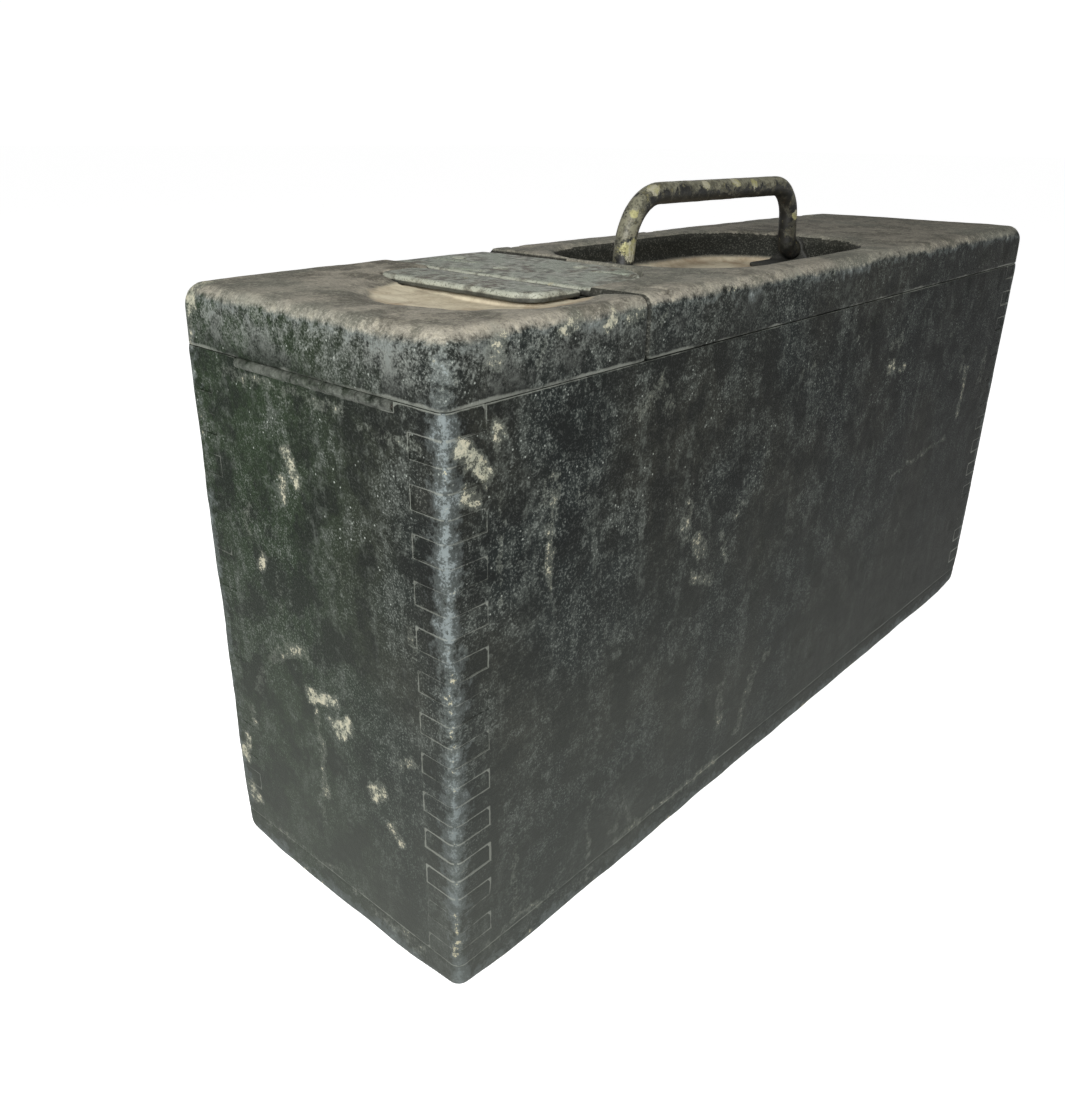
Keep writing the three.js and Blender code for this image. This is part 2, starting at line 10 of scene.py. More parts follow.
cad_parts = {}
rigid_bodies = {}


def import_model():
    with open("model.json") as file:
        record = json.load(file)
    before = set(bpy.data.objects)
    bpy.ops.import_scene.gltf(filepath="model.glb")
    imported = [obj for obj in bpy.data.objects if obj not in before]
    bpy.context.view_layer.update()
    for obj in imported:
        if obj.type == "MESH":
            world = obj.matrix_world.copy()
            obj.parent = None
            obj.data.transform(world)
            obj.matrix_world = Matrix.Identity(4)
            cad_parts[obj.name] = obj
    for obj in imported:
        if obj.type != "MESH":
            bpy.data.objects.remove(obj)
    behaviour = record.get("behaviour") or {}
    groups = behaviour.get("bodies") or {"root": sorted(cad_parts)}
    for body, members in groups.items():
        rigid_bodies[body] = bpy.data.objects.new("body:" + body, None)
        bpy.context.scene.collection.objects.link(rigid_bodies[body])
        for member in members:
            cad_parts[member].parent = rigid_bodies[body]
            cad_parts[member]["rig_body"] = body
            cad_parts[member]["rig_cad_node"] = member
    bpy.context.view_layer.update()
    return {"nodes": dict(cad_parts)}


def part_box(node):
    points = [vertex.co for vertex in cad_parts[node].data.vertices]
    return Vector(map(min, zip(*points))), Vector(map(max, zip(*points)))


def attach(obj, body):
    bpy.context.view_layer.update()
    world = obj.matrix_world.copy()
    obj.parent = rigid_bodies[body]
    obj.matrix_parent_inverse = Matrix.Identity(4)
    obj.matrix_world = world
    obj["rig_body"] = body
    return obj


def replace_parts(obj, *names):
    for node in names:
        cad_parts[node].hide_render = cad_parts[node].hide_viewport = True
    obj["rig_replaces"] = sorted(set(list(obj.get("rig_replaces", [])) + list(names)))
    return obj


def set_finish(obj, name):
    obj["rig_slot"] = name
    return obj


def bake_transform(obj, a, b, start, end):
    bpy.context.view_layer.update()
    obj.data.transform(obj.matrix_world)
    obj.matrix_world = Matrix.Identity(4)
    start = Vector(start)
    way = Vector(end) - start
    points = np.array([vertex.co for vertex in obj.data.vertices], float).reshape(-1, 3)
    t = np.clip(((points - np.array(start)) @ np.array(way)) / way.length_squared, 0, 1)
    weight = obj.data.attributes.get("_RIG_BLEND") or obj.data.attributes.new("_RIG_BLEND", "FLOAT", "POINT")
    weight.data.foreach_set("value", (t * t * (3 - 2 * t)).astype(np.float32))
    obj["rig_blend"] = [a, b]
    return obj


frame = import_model()

MM = 0.001
SEED = 7
GAP = 0.3 * MM

# ---- driving sizes, from the frame, in metres ----


def corners(node):
    """Lowest and highest corner of a CAD node, as numpy arrays in metres."""
    low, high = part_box(node)
    return np.array(low), np.array(high)


bottom_high = corners("bottom_board")[1]
front_low, front_high = corners("front_wall")
end_low, end_high = corners("hinge_end_wall")
top_low, top_high = corners("fixed_top")
lid_low, lid_high = corners("lid_board")

HALF_L = bottom_high[0]
HALF_W = bottom_high[1]
HEIGHT = top_high[2]
LONG_T = front_high[1] - front_low[1]
END_T = end_high[0] - end_low[0]
SEAM_LOW_Z = round(bottom_high[2], 3)
SEAM_TOP_Z = round(front_high[2], 3)
FINGERS = 26
FINGER_H = (SEAM_TOP_Z - SEAM_LOW_Z) / FINGERS

# ---- noise ----


class Lattice:
    """Smooth repeatable noise from a seeded lattice of random numbers."""

    SIDE = 48
    OCTAVE_SHIFT = 17.3

    def __init__(self, seed):
        self.values = np.random.default_rng(seed).uniform(-1, 1, (self.SIDE,) * 3)

    def __call__(self, points, size, octaves=1):
        """Noise in about -1 to 1 at points (n, 3), with features of that size in metres."""
        total = np.zeros(len(points))
        for octave in range(octaves):
            scaled = np.asarray(points) / size * 2**octave + self.OCTAVE_SHIFT * octave
            cell = np.floor(scaled).astype(int)
            f = scaled - cell
            f = f * f * (3 - 2 * f)
            value = 0.0
            for corner in np.ndindex(2, 2, 2):
                i, j, k = ((cell + corner) % self.SIDE).T
                near = np.where(corner, f, 1 - f)
                value = value + near[:, 0] * near[:, 1] * near[:, 2] * self.values[i, j, k]
            total += 0.5**octave * value
        return total


noise = Lattice(SEED)
other_noise = Lattice(SEED + 1)

# ---- meshes ----

OTHERS = ((1, 2), (2, 0), (0, 1))


def mesh_object(name, vertices, quads, body, slot, *nodes):
    """A new piece from arrays of vertices and quads, in place of CAD nodes.

    body is the body it rides on, or the two bodies and two places that it bends between."""
    a, b, c, d = (np.asarray(vertices)[quads[:, i]] for i in range(4))
    if np.einsum("ij,ij->", a, np.cross(b - a, c - a) + np.cross(c - a, d - a)) < 0:
        quads = quads[:, ::-1]
    mesh = bpy.data.meshes.new(name)
    mesh.vertices.add(len(vertices))
    mesh.vertices.foreach_set("co", np.asarray(vertices, float).ravel())
    mesh.loops.add(quads.size)
    mesh.loops.foreach_set("vertex_index", quads.ravel().astype(np.int32))
    mesh.polygons.add(len(quads))
    mesh.polygons.foreach_set("loop_start", np.arange(0, quads.size, 4, dtype=np.int32))
    mesh.update(calc_edges=True)
    mesh.validate()
    mesh.shade_smooth()
    piece = bpy.data.objects.new(f"{name}_detail", mesh)
    bpy.context.scene.collection.objects.link(piece)
    if isinstance(body, tuple):
        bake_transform(piece, *body)
    else:
        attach(piece, body)
    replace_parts(piece, *nodes)
    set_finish(piece, slot)
    return piece


def add_attribute(piece, name, values):
    """Stores one number for each vertex, for the material to read."""
    attribute = piece.data.attributes.new(name, "FLOAT", "POINT")
    attribute.data.foreach_set("value", np.asarray(values, np.float32))


def cell_surface(xs, ys, zs, filled):
    """Vertices and quads round the filled cells of a grid with those cell boundaries."""
    shape = (len(xs), len(ys), len(zs))
    padded = np.pad(filled, 1)
    strides = np.array([shape[1] * shape[2], shape[2], 1])
    quads = []
    for axis, (b, c) in enumerate(OTHERS):
        low = np.take(padded, range(padded.shape[axis] - 1), axis)
        high = np.take(padded, range(1, padded.shape[axis]), axis)
        for rising in (True, False):
            faces = (low & ~high) if rising else (~low & high)
            cell = np.argwhere(faces)
            for other in (b, c):
                cell[:, other] -= 1
            first = cell @ strides
            ring = [first, first + strides[b], first + strides[b] + strides[c], first + strides[c]]
            quads.append(np.stack(ring if rising else ring[::-1], axis=1))
    quads = np.concatenate(quads)
    used, quads = np.unique(quads, return_inverse=True)
    quads = quads.reshape(-1, 4)
    i, j, k = np.unravel_index(used, shape)
    return np.stack([xs[i], ys[j], zs[k]], axis=1), quads


def surface_net(field, low, step):
    """Vertices and quads round the negative part of a grid of signed distances."""
    field = np.pad(field, 1, constant_values=step)
    low = np.asarray(low) - step
    cells = tuple(n - 1 for n in field.shape)
    total = np.zeros(cells + (3,))
    count = np.zeros(cells)
    crossings = []
    for axis, (b, c) in enumerate(OTHERS):
        near = np.take(field, range(field.shape[axis] - 1), axis)
        far = np.take(field, range(1, field.shape[axis]), axis)
        where = np.argwhere((near < 0) != (far < 0))
        f0, f1 = near[tuple(where.T)], far[tuple(where.T)]
        place = where.astype(float)
        place[:, axis] += f0 / (f0 - f1)
        ring = []
        for db, dc in ((1, 1), (0, 1), (0, 0), (1, 0)):
            cell = where.copy()
            cell[:, b] -= db
            cell[:, c] -= dc
            ring.append(tuple(cell.T))
            np.add.at(total, ring[-1], place)
            np.add.at(count, ring[-1], 1)
        crossings.append((ring, f0 < 0))
    active = np.argwhere(count > 0)
    index = tuple(active.T)
    vertices = low + total[index] / count[index][:, None] * step
    number = np.full(cells, -1)
    number[index] = np.arange(len(active))
    quads = []
    for ring, outward in crossings:
        ring = np.stack([number[cell] for cell in ring], axis=1)
        quads.append(np.where(outward[:, None], ring, ring[:, ::-1]))
    return vertices, np.concatenate(quads)


# ---- the worn outer form ----

TOP_EDGE_R = 4.2 * MM
BOTTOM_EDGE_R = 2.0 * MM
CAP_CORNER_R = 3.4 * MM
BODY_CORNER_R = 2.8 * MM
CORNER_WEAR = 4.0 * MM
CORNER_REACH = 22 * MM
SKIN = 3.0 * MM
KNOCK_DEPTH = 1.2 * MM
KNOCK_SHIFT = 0.3
MEAN_HOLLOW = 0.14 * MM


def edge_radii(p):
    """Radius of the upright, top and bottom edges near each point, uneven from knocks."""
    ragged = noise(p, 14 * MM, 2) + 0.3 * other_noise(p, 4 * MM, 2)
    in_cap = np.clip((p[:, 2] - SEAM_TOP_Z) / (2 * MM) + 0.5, 0, 1)
    upright = BODY_CORNER_R + (CAP_CORNER_R - BODY_CORNER_R) * in_cap + 0.5 * MM * ragged
    to_tip = np.clip(1 - np.minimum(p[:, 2], HEIGHT - p[:, 2]) / CORNER_REACH, 0, 1)
    to_upright = np.hypot(HALF_L - np.abs(p[:, 0]), HALF_W - np.abs(p[:, 1]))
    extra = CORNER_WEAR * np.clip(1 - to_upright / CORNER_REACH, 0, 1)
    return (upright + 0.5 * CORNER_WEAR * to_tip, TOP_EDGE_R + 0.9 * MM * ragged + extra,
            BOTTOM_EDGE_R + 0.5 * MM * ragged + extra)


def surface_hollow(p):
    """How far the outside has shrunk, bowed and been dented at each point."""
    broad = 0.16 * MM * noise(p, 60 * MM, 2)
    small = 0.06 * MM * other_noise(p, 8 * MM, 3)
    knocks = KNOCK_DEPTH * np.clip(other_noise(p + KNOCK_SHIFT, 15 * MM) - 0.6, 0, 1)
    return np.maximum(broad + small + knocks + MEAN_HOLLOW, 0)


def plan_depth(dx, dy, radius):
    """Depth under the rounded outline in plan, and the direction straight in from it."""
    u, v = np.maximum(radius - dx, 0), np.maximum(radius - dy, 0)
    reach = np.hypot(u, v)
    depth = np.where(reach > 0, radius - reach, np.minimum(dx, dy))
    safe = np.maximum(reach, 1e-9)
    return depth, u / safe, v / safe


def round_edge(a, b, radius):
    """Depths a and b under two faces, moved in where they stand outside their round edge."""
    u, v = np.maximum(radius - a, 0), np.maximum(radius - b, 0)
    reach = np.hypot(u, v)
    scale = np.where((u > 0) & (v > 0) & (reach > radius), radius / np.maximum(reach, 1e-9), 1)
    return np.where(scale < 1, radius - u * scale, a), np.where(scale < 1, radius - v * scale, b)


def case_depth(p):
    """Depth of each point below the worn outside of the case, less than 0 outside it."""
    dx, dy = HALF_L - np.abs(p[:, 0]), HALF_W - np.abs(p[:, 1])
    upright, top_r, _ = edge_radii(p)
    plan = plan_depth(dx, dy, upright)[0]
    depth = plan_depth(plan, HEIGHT - p[:, 2], top_r)[0]
    return depth - surface_hollow(p)


def wear(points, sunk=0.0):
    """Moves points that stand outside the worn form in to it, and dents its skin.

    sunk is a further depth for the side faces, for pieces that have shrunk below them."""
    p = np.array(points, float)
    dx, dy = HALF_L - np.abs(p[:, 0]), HALF_W - np.abs(p[:, 1])
    upright, top_r, low_r = edge_radii(p)
    dx, dy = round_edge(dx, dy, upright)
    plan, nx, ny = plan_depth(dx, dy, upright)
    new_plan, top = round_edge(plan, HEIGHT - p[:, 2], top_r)
    new_plan, low = round_edge(new_plan, p[:, 2], low_r)
    hollow = surface_hollow(p)
    skin = np.clip(1 - new_plan / SKIN, 0, 1)
    shift = new_plan - plan + skin * (hollow + sunk)
    dx, dy = dx + shift * nx, dy + shift * ny
    top = top + np.clip(1 - top / SKIN, 0, 1) * hollow
    side = np.sign(p)
    upper = p[:, 2] > HEIGHT / 2
    p[:, 0] = side[:, 0] * (HALF_L - dx)
    p[:, 1] = side[:, 1] * (HALF_W - dy)
    p[:, 2] = np.where(upper, HEIGHT - top, low)
    return p


EDGE_REACH = 16 * MM


def edge_share(p):
    """1 on the case's outer edges, falling to 0 at EDGE_REACH from them."""
    depths = np.stack([HALF_L - np.abs(p[:, 0]), HALF_W - np.abs(p[:, 1]),
                       np.minimum(HEIGHT - p[:, 2], p[:, 2])])
    nearest = np.sort(depths, axis=0)
    return np.clip(1 - np.hypot(nearest[0], nearest[1]) / EDGE_REACH, 0, 1)


# ---- distances, less than 0 inside ----


def smooth_max(a, b, radius):
    """The larger of two distances, with their corner rounded."""
    h = np.maximum(radius - np.abs(a - b), 0) / radius
    return np.maximum(a, b) + h * h * radius / 4


def smooth_min(a, b, radius):
    """The smaller of two distances, with a fillet between them."""
    return -smooth_max(-a, -b, radius)


def rounded_rect(x, y, low, high, radii):
    """Distance in plan from a rectangle with round corners.

    radii is one radius, or those of the front left, front right, rear right and rear left."""
    cx, cy = (low[0] + high[0]) / 2, (low[1] + high[1]) / 2
    fl, fr, rr, rl = np.broadcast_to(radii, 4)
    r = np.where(x > cx, np.where(y > cy, rr, fr), np.where(y > cy, rl, fl))
    qx = np.abs(x - cx) - (high[0] - low[0]) / 2 + r
    qy = np.abs(y - cy) - (high[1] - low[1]) / 2 + r
    return np.hypot(np.maximum(qx, 0), np.maximum(qy, 0)) + np.minimum(np.maximum(qx, qy), 0) - r


def block(p, low, high, radius=0.0):
    """Distance from a box with edges of that roundness."""
    centre, half = (np.asarray(low) + high) / 2, (np.asarray(high) - low) / 2 - radius
    q = np.abs(p - centre) - half
    return np.linalg.norm(np.maximum(q, 0), axis=1) + np.minimum(q.max(axis=1), 0) - radius


def rod(p, axis, centre, radius, start, end):
    """Distance from a round bar along an axis; centre gives its other two coordinates."""
    a, b = [i for i in range(3) if i != axis]
    around = np.hypot(p[:, a] - centre[0], p[:, b] - centre[1]) - radius
    return smooth_max(around, np.maximum(start - p[:, axis], p[:, axis] - end), 0.3 * MM)


def crack(p, ends, half_width, depth):
    """Distance from a narrow open crack in the top; ends are its places in plan, in mm."""
    start, end = (np.array(e) * MM for e in ends)
    along = (p[:, :2] - start) @ (end - start) / np.sum((end - start) ** 2)
    nearest = start + np.clip(along, 0, 1)[:, None] * (end - start)
    away = np.linalg.norm(p[:, :2] - nearest, axis=1) - half_width
    return np.maximum(away + 0.3 * MM * noise(p, 4 * MM), HEIGHT - depth - p[:, 2])


def less(field, *tools, ease=0.0):
    """The field with the tools cut from it, the new edges eased."""
    for tool in tools:
        field = smooth_max(field, -tool, ease) if ease else np.maximum(field, -tool)
    return field


def net_piece(name, field_of, low, high, step, body, slot, *nodes):
    """A piece from a field of distances, sampled at that step over a box."""
    low = np.asarray(low) - 1.37 * step
    counts = np.ceil((np.asarray(high) + 1.5 * step - low) / step).astype(int) + 1
    axes = [low[i] + step * np.arange(counts[i]) for i in range(3)]
    grid = np.stack(np.meshgrid(*axes, indexing="ij"), axis=-1).reshape(-1, 3)
    vertices, quads = surface_net(field_of(grid).reshape(counts), low, step)
    return mesh_object(name, vertices, quads, body, slot, *nodes), vertices


# ---- what the paint shader reads from the vertices ----

# Knocks and scratches that show pale: (u, v, length, width, angle from upright, strength) on each
# face, in mm and degrees, u along the face and v up it or, on the top, towards the rear.
MARKS = {
    "front": [(-196, 172, 16, 4.5, -50, 1.0), (-188, 178, 6, 3, -40, 0.9), (-197, 163, 6, 3, -60, 0.9),
        (-166, 142, 30, 1.6, 3, 0.8), (-168, 158, 9, 2.0, 20, 0.6), (-151, 152, 5, 3, 60, 0.5),
        (-122, 175, 16, 3.5, 62, 0.65), (-112, 170, 8, 3.5, -20, 0.6), (-97, 128, 14, 5, 12, 0.7),
        (-88, 116, 11, 6, -32, 0.72), (-84, 103, 16, 3, -70, 0.7), (-70, 110, 16, 2.2, -15, 0.62),
        (-62, 122, 7, 4, 40, 0.6), (-46, 137, 6, 3, 30, 0.55), (58, 155, 7, 3.5, 70, 0.8),
        (71, 153, 6, 3, 80, 0.75), (60, 165, 12, 4, 72, 0.55), (110, 102, 70, 1.4, 86, 0.6),
        (157, 126, 26, 4, 4, 0.72), (150, 140, 10, 4, 20, 0.6), (183, 136, 18, 5, 12, 0.55),
        (24, 175, 12, 2, 66, 0.5), (-62, 38, 22, 5, -8, 0.6), (-42, 30, 26, 4, 18, 0.62),
        (-30, 46, 14, 3.5, 64, 0.55), (-94, 12, 70, 1.6, 90, 0.75), (-176, 12, 34, 1.5, 90, 0.6),
        (-143, 22, 40, 1.0, 1, 0.62), (-180, 30, 28, 1.3, -3, 0.6), (-128, 24, 14, 3, 24, 0.5),
        (-120, 18, 12, 3, -30, 0.5), (-186, 146, 32, 0.9, 1, 0.6), (20, 88, 9, 2, -60, 0.5),
        (95, 65, 12, 1.6, 40, 0.45), (-20, 166, 10, 2.2, 84, 0.5), (5, 60, 12, 1.4, 20, 0.45),
        (128, 160, 12, 2.5, 75, 0.5), (-140, 92, 18, 1.2, 5, 0.45), (-160, 202, 10, 3, 78, 0.85),
        (-143, 200, 6, 2.5, 50, 0.9), (-188, 199, 10, 5, 20, 0.75), (-172, 195, 7, 2, 10, 0.6),
        (-132, 201, 8, 2.5, 80, 0.8), (-118, 198, 5, 2, 30, 0.7), (-40, 202, 12, 2.5, 84, 0.6),
        (-14, 201, 9, 3, 84, 0.6)],
    "left": [(6, 158, 12, 3.5, 18, 0.95), (12, 150, 8, 2.5, 10, 0.8), (27, 122, 7, 3, -25, 0.85),
        (33, 133, 14, 1.4, -8, 0.6), (2, 83, 16, 4, -74, 0.95), (-8, 77, 11, 5, -58, 1.0),
        (14, 95, 13, 3.5, -66, 0.85), (26, 88, 10, 4, -40, 0.7), (4, 60, 34, 2.0, 2, 0.75),
        (6, 36, 14, 1.8, 1, 0.6), (-24, 60, 9, 4, -60, 0.9), (-31, 47, 8, 3, 30, 0.8),
        (52, 40, 12, 5, -10, 0.95), (50, 21, 8, 6, 30, 0.9), (46, 57, 9, 2.5, 10, 0.7),
        (20, 108, 20, 1.3, -4, 0.5), (-14, 128, 12, 1.5, 14, 0.55), (-44, 120, 9, 2.5, 4, 0.7),
        (-38, 78, 8, 3.5, -30, 0.7), (38, 75, 12, 3, -12, 0.6), (15, 12, 60, 1.4, 90, 0.55),
        (-30, 8, 24, 3.5, 82, 0.6), (53, 201, 9, 7, 20, 1.0), (54, 191, 9, 4, 0, 0.85),
        (20, 202, 12, 2.5, 82, 0.6), (10, 180, 60, 2.5, 88, 0.62), (-38, 177, 24, 2, 84, 0.6)],
    "top": [(-184, 40, 14, 4, 60, 0.5), (-150, -48, 26, 3, 85, 0.55), (-100, -46, 30, 2.5, 88, 0.5),
        (20, -50, 40, 2, 88, 0.45), (120, -47, 40, 2.5, 90, 0.5), (150, 10, 30, 3, 60, 0.4),
        (110, 30, 22, 3, 40, 0.4), (-126, -44, 8, 4, 10, 0.7), (-200, 52, 9, 6, 40, 0.95),
        (-134, 4, 12, 4, 70, 0.6), (-128, -18, 10, 3, 88, 0.6)],
    "right": [(10, 120, 26, 3, 12, 0.6), (-22, 60, 18, 4, -50, 0.65), (30, 150, 10, 4, 40, 0.7),
        (-5, 30, 30, 1.4, 3, 0.5)],
    "rear": [(-140, 140, 24, 3, 30, 0.6), (-60, 60, 30, 2, 80, 0.55), (40, 120, 16, 5, -30, 0.65),
        (120, 40, 26, 4, 8, 0.6), (165, 150, 14, 3.5, 60, 0.65), (-10, 100, 36, 1.2, 4, 0.5)],
}
MARK_REACH = 2.8 * MM


def mark_share(p):
    """How strongly each point is scratched or knocked: 1 in the middle of a bold mark."""
    share = np.zeros(len(p))
    bend = 2.2 * MM * noise(p, 9 * MM, 2)
    x, y, z = p.T
    faces = {"front": (x, z, HALF_W + y), "rear": (x, z, HALF_W - y), "left": (y, z, HALF_L + x),
             "right": (y, z, HALF_L - x), "top": (x, y, HEIGHT - z)}
    for face, (u, v, off) in faces.items():
        for u0, v0, length, width, angle, strength in MARKS[face]:
            turn = math.radians(angle)
            du, dv = u - u0 * MM, v - v0 * MM
            along = dv * math.cos(turn) + du * math.sin(turn)
            across = du * math.cos(turn) - dv * math.sin(turn) + bend
            past = np.maximum(np.abs(along) - length * MM / 2, 0)
            aside = np.maximum(np.abs(across) - width * MM / 2, 0)
            near = 1 - np.hypot(past, aside) / MARK_REACH
            share = np.maximum(share, strength * near * (off < 8 * MM))
    return share


RECESS_HALF = np.array((71.5, 42)) * MM
RECESS_R = 36 * MM
RECESS_FLOOR = HEIGHT - 13.5 * MM
SCOOP_CENTRE = np.array((-146 * MM, -12 * MM, HEIGHT))
SCOOP_RADII = np.array((37, 37, 5)) * MM
GROOVE_X = (-77.5 * MM, -72.5 * MM)
GROOVE_START_Y = 14 * MM
SPLIT_X = (top_low[0] + lid_high[0]) / 2


def recess_plan(p):
    """Distance in plan from the handle's recess."""
    return rounded_rect(p[:, 0], p[:, 1], -RECESS_HALF, RECESS_HALF, RECESS_R)


def dust_share(p):
    """Dusty wear of the top: 1 on its flat and in its hollows, 0 down the sides."""
    height = np.clip((p[:, 2] - (HEIGHT - 6 * MM)) / (5.5 * MM), 0, 1)
    hollow = np.clip(sand_share(p) * 2, 0, 1)
    return np.maximum(height, hollow)


def sand_share(p):
    """Pale sandy dirt on the floors of the scoop and of the handle's recess."""
    reach = np.linalg.norm((p[:, :2] - SCOOP_CENTRE[:2]) / SCOOP_RADII[:2], axis=1)
    scoop = np.clip((1 - reach) * 5, 0, 1) * (p[:, 0] < SPLIT_X) * (p[:, 2] < HEIGHT - 0.25 * MM)
    low = np.clip((RECESS_FLOOR + 4 * MM - p[:, 2]) / (3 * MM), 0, 1)
    recess = low * (recess_plan(p) < 1 * MM) * (p[:, 2] > RECESS_FLOOR - 1 * MM)
    return np.maximum(scoop, 0.75 * recess)


def shade_and_grime_share(p):
    """Dark dirt and painted shade on the walls of the recess, in the groove and in the gap at the lid's end.
    """
    x, y, z = p.T
    deep = np.clip((HEIGHT - 0.5 * MM - z) / (1 * MM), 0, 1)
    wall_of_recess = (recess_plan(p) < 1.5 * MM) * np.clip((z - RECESS_FLOOR) / (5 * MM), 0, 1)
    groove = (x > GROOVE_X[0] - 1 * MM) & (x < GROOVE_X[1] + 1 * MM) & (y > GROOVE_START_Y)
    groove = groove & (z > HEIGHT - 5 * MM)
    split = (np.abs(x - SPLIT_X) < 1.0 * MM) * np.clip(case_depth(p) / (0.4 * MM) - 0.4, 0, 1)
    return np.maximum(deep * np.maximum(wall_of_recess, groove), split)


def film_and_floor_light_share(p):
    """A smooth dusty coat that thickens down the walls, with painted floor-bounce light that lightens them
    low down.
    """
    return np.clip((0.140 - p[:, 2]) / 0.125, 0, 1)


def bloom_share(p):
    """A grey bloom on the sides of the top board and the lid, most of all at the hinge end."""
    low = np.clip((p[:, 2] - SEAM_TOP_Z) / (12 * MM), 0, 1)
    along = np.exp(-(p[:, 0] + HALF_L) / (70 * MM))
    return low * (0.15 + 0.85 * along)


def green_share(p):
    """Where the paint is greener: the hinge end, most of all towards the rear."""
    at_end = np.clip(1 - (HALF_L + p[:, 0]) / (30 * MM), 0, 1)
    return at_end * np.clip(0.6 + p[:, 1] / (2 * HALF_W), 0, 1)


def far_shade_share(p):
    """Painted shade: the paint is darker and browner towards the far end, where the light falls off."""
    return np.clip((p[:, 0] + 0.17) / 0.34, 0, 1)


def paint_attributes(piece, p, seam=0.0, inside=0.0, dark=0.0):
    """Stores what the paint shader reads, from each vertex's place at rest."""
    everywhere = np.ones(len(p))
    shares = {
        "seam": seam * everywhere, "inside": inside * everywhere, "edge": edge_share(p),
        # The share that lightens the walls low down is partly painted floor-bounce light.
        "marks": mark_share(p), "dust": dust_share(p), "sand": sand_share(p), "film": film_and_floor_light_share(p),
        # far: painted shade towards the far end.
        "bloom": bloom_share(p), "green": green_share(p), "far": far_shade_share(p),
        # Dirt with painted shade in the hollows and gaps, and the darker sunk fingers.
        "grime": np.maximum(shade_and_grime_share(p), dark),
    }
    for name, share in shares.items():
        add_attribute(piece, name, share)


# ---- boards of the box ----


def steps(low, high, size):
    """Evenly spaced cell boundaries from low to high, near that size."""
    return np.linspace(low, high, max(int(round((high - low) / size)), 1) + 1)


FINE = 1.0 * MM
COARSE = 1.7 * MM
ON_FACE = 1e-6


def graded(half, end, coarse):
    """Cell boundaries from -half to half, fine over the ends and coarse between them."""
    lines = np.concatenate([steps(-half, end - half, FINE), steps(end - half, half - end, coarse),
                            steps(half - end, half, FINE)])
    return lines[np.append(True, np.diff(lines) > ON_FACE)]


def finger_number(z, parity=None):
    """Number of the finger at each height, or of the nearest one of that parity."""
    position = (z - SEAM_LOW_Z) / FINGER_H
    if parity is None:
        return np.clip(position.astype(int), 0, FINGERS - 1)
    return np.clip(2 * np.round((position - 0.5 - parity) / 2).astype(int) + parity, 0, FINGERS - 1)


SUNK_RANGE = (-0.08, 0.16)
LOOSE_FINGERS = 6


def finger_relief(p, from_corner, parity, seed):
    """How far the end-grain fingers of a wall are sunk, or proud if negative."""
    random = np.random.default_rng(seed)
    sunk = random.uniform(*SUNK_RANGE, FINGERS) * MM
    sunk[-LOOSE_FINGERS:] += 0.3 * MM
    number = finger_number(p[:, 2], parity)
    middle = SEAM_LOW_Z + FINGER_H * (number + 0.5)
    to_edge = np.abs(p[:, 2] - middle) / (FINGER_H / 2)
    away = np.clip((from_corner - 3 * MM) / (3 * MM), 0, 1)
    return (sunk[number] + 0.07 * MM * to_edge**6) * away


def outline_share(vertices, quads, outside):
    """1 at vertices of the outside where the piece's face ends, else 0."""
    a, b, c = (vertices[quads[:, i]] for i in range(3))
    direction = np.abs(np.cross(b - a, c - a)).argmax(axis=1)
    facing = np.zeros((len(vertices), 3), bool)
    for corner in range(4):
        facing[quads[:, corner], direction] = True
    return ((facing.sum(axis=1) > 1) & outside).astype(float)


hinge_low, hinge_high = corners("hinge_leaf_box")


def wall(name, is_long, side):
    """A wall board with its fingers, built cell by cell and then worn."""
    if is_long:
        xs = graded(HALF_L, END_T, COARSE)
        ys = steps(*sorted((side * (HALF_W - LONG_T), side * HALF_W)), FINE)
    else:
        xs = steps(*sorted((side * (HALF_L - END_T), side * HALF_L)), FINE)
        ys = graded(HALF_W, LONG_T, COARSE)
    zs = steps(SEAM_LOW_Z, SEAM_TOP_Z, FINGER_H / 5)
    centres = [(g[:-1] + g[1:]) / 2 for g in (xs, ys, zs)]
    cx, cy, cz = np.meshgrid(*centres, indexing="ij")
    parity = 0 if is_long else 1
    in_joint = (np.abs(cx) > HALF_L - END_T) & (np.abs(cy) > HALF_W - LONG_T)
    filled = ~in_joint | (finger_number(cz) % 2 == parity)
    if name == "hinge_end_wall":
        beside = (cy > hinge_low[1] - GAP) & (cy < hinge_high[1] + GAP)
        filled &= ~(beside & (cz > hinge_low[2] - GAP))
    vertices, quads = cell_surface(xs, ys, zs, filled)
    depth_x, depth_y = HALF_L - np.abs(vertices[:, 0]), HALF_W - np.abs(vertices[:, 1])
    own, from_corner = (depth_x, depth_y) if is_long else (depth_y, depth_x)
    end_grain = own < ON_FACE
    sunk = finger_relief(vertices, from_corner, parity, SEED + 2 * side + parity) * end_grain
    at_seam = (vertices[:, 2] > zs[-1] - ON_FACE) | (vertices[:, 2] < zs[0] + ON_FACE)
    sunk = np.maximum(sunk, 0.1 * MM * at_seam)
    outside = np.minimum(depth_x, depth_y) < ON_FACE
    on_corner = (depth_x < ON_FACE) & (depth_y < ON_FACE)
    seam = outline_share(vertices, quads, outside & ~on_corner)
    seam *= 1 + 0.3 * noise(vertices, 24 * MM, 2) - 0.06 * is_long
    seam *= np.where(vertices[:, 1] > 0.02, 0.8, 1.0)
    stained = np.random.default_rng(SEED + parity).uniform(0, 0.75, FINGERS)
    dark = stained[finger_number(vertices[:, 2], parity)] * end_grain * (sunk > 0.2 * MM)
    dark *= (from_corner > 1.5 * MM) & (vertices[:, 1] < 0)
    piece = mesh_object(name, wear(vertices, sunk), quads, "case", "painted_wood", name)
    piece.data.set_sharp_from_angle(angle=math.radians(40))
    inside = (depth_x > END_T - 0.5 * MM) & (depth_y > LONG_T - 0.5 * MM)
    in_joint_line = (depth_x < END_T + 0.5 * MM) & (depth_y < LONG_T + 0.5 * MM)
    paint_attributes(piece, vertices, seam=seam, inside=inside & ~in_joint_line, dark=dark)
    return piece


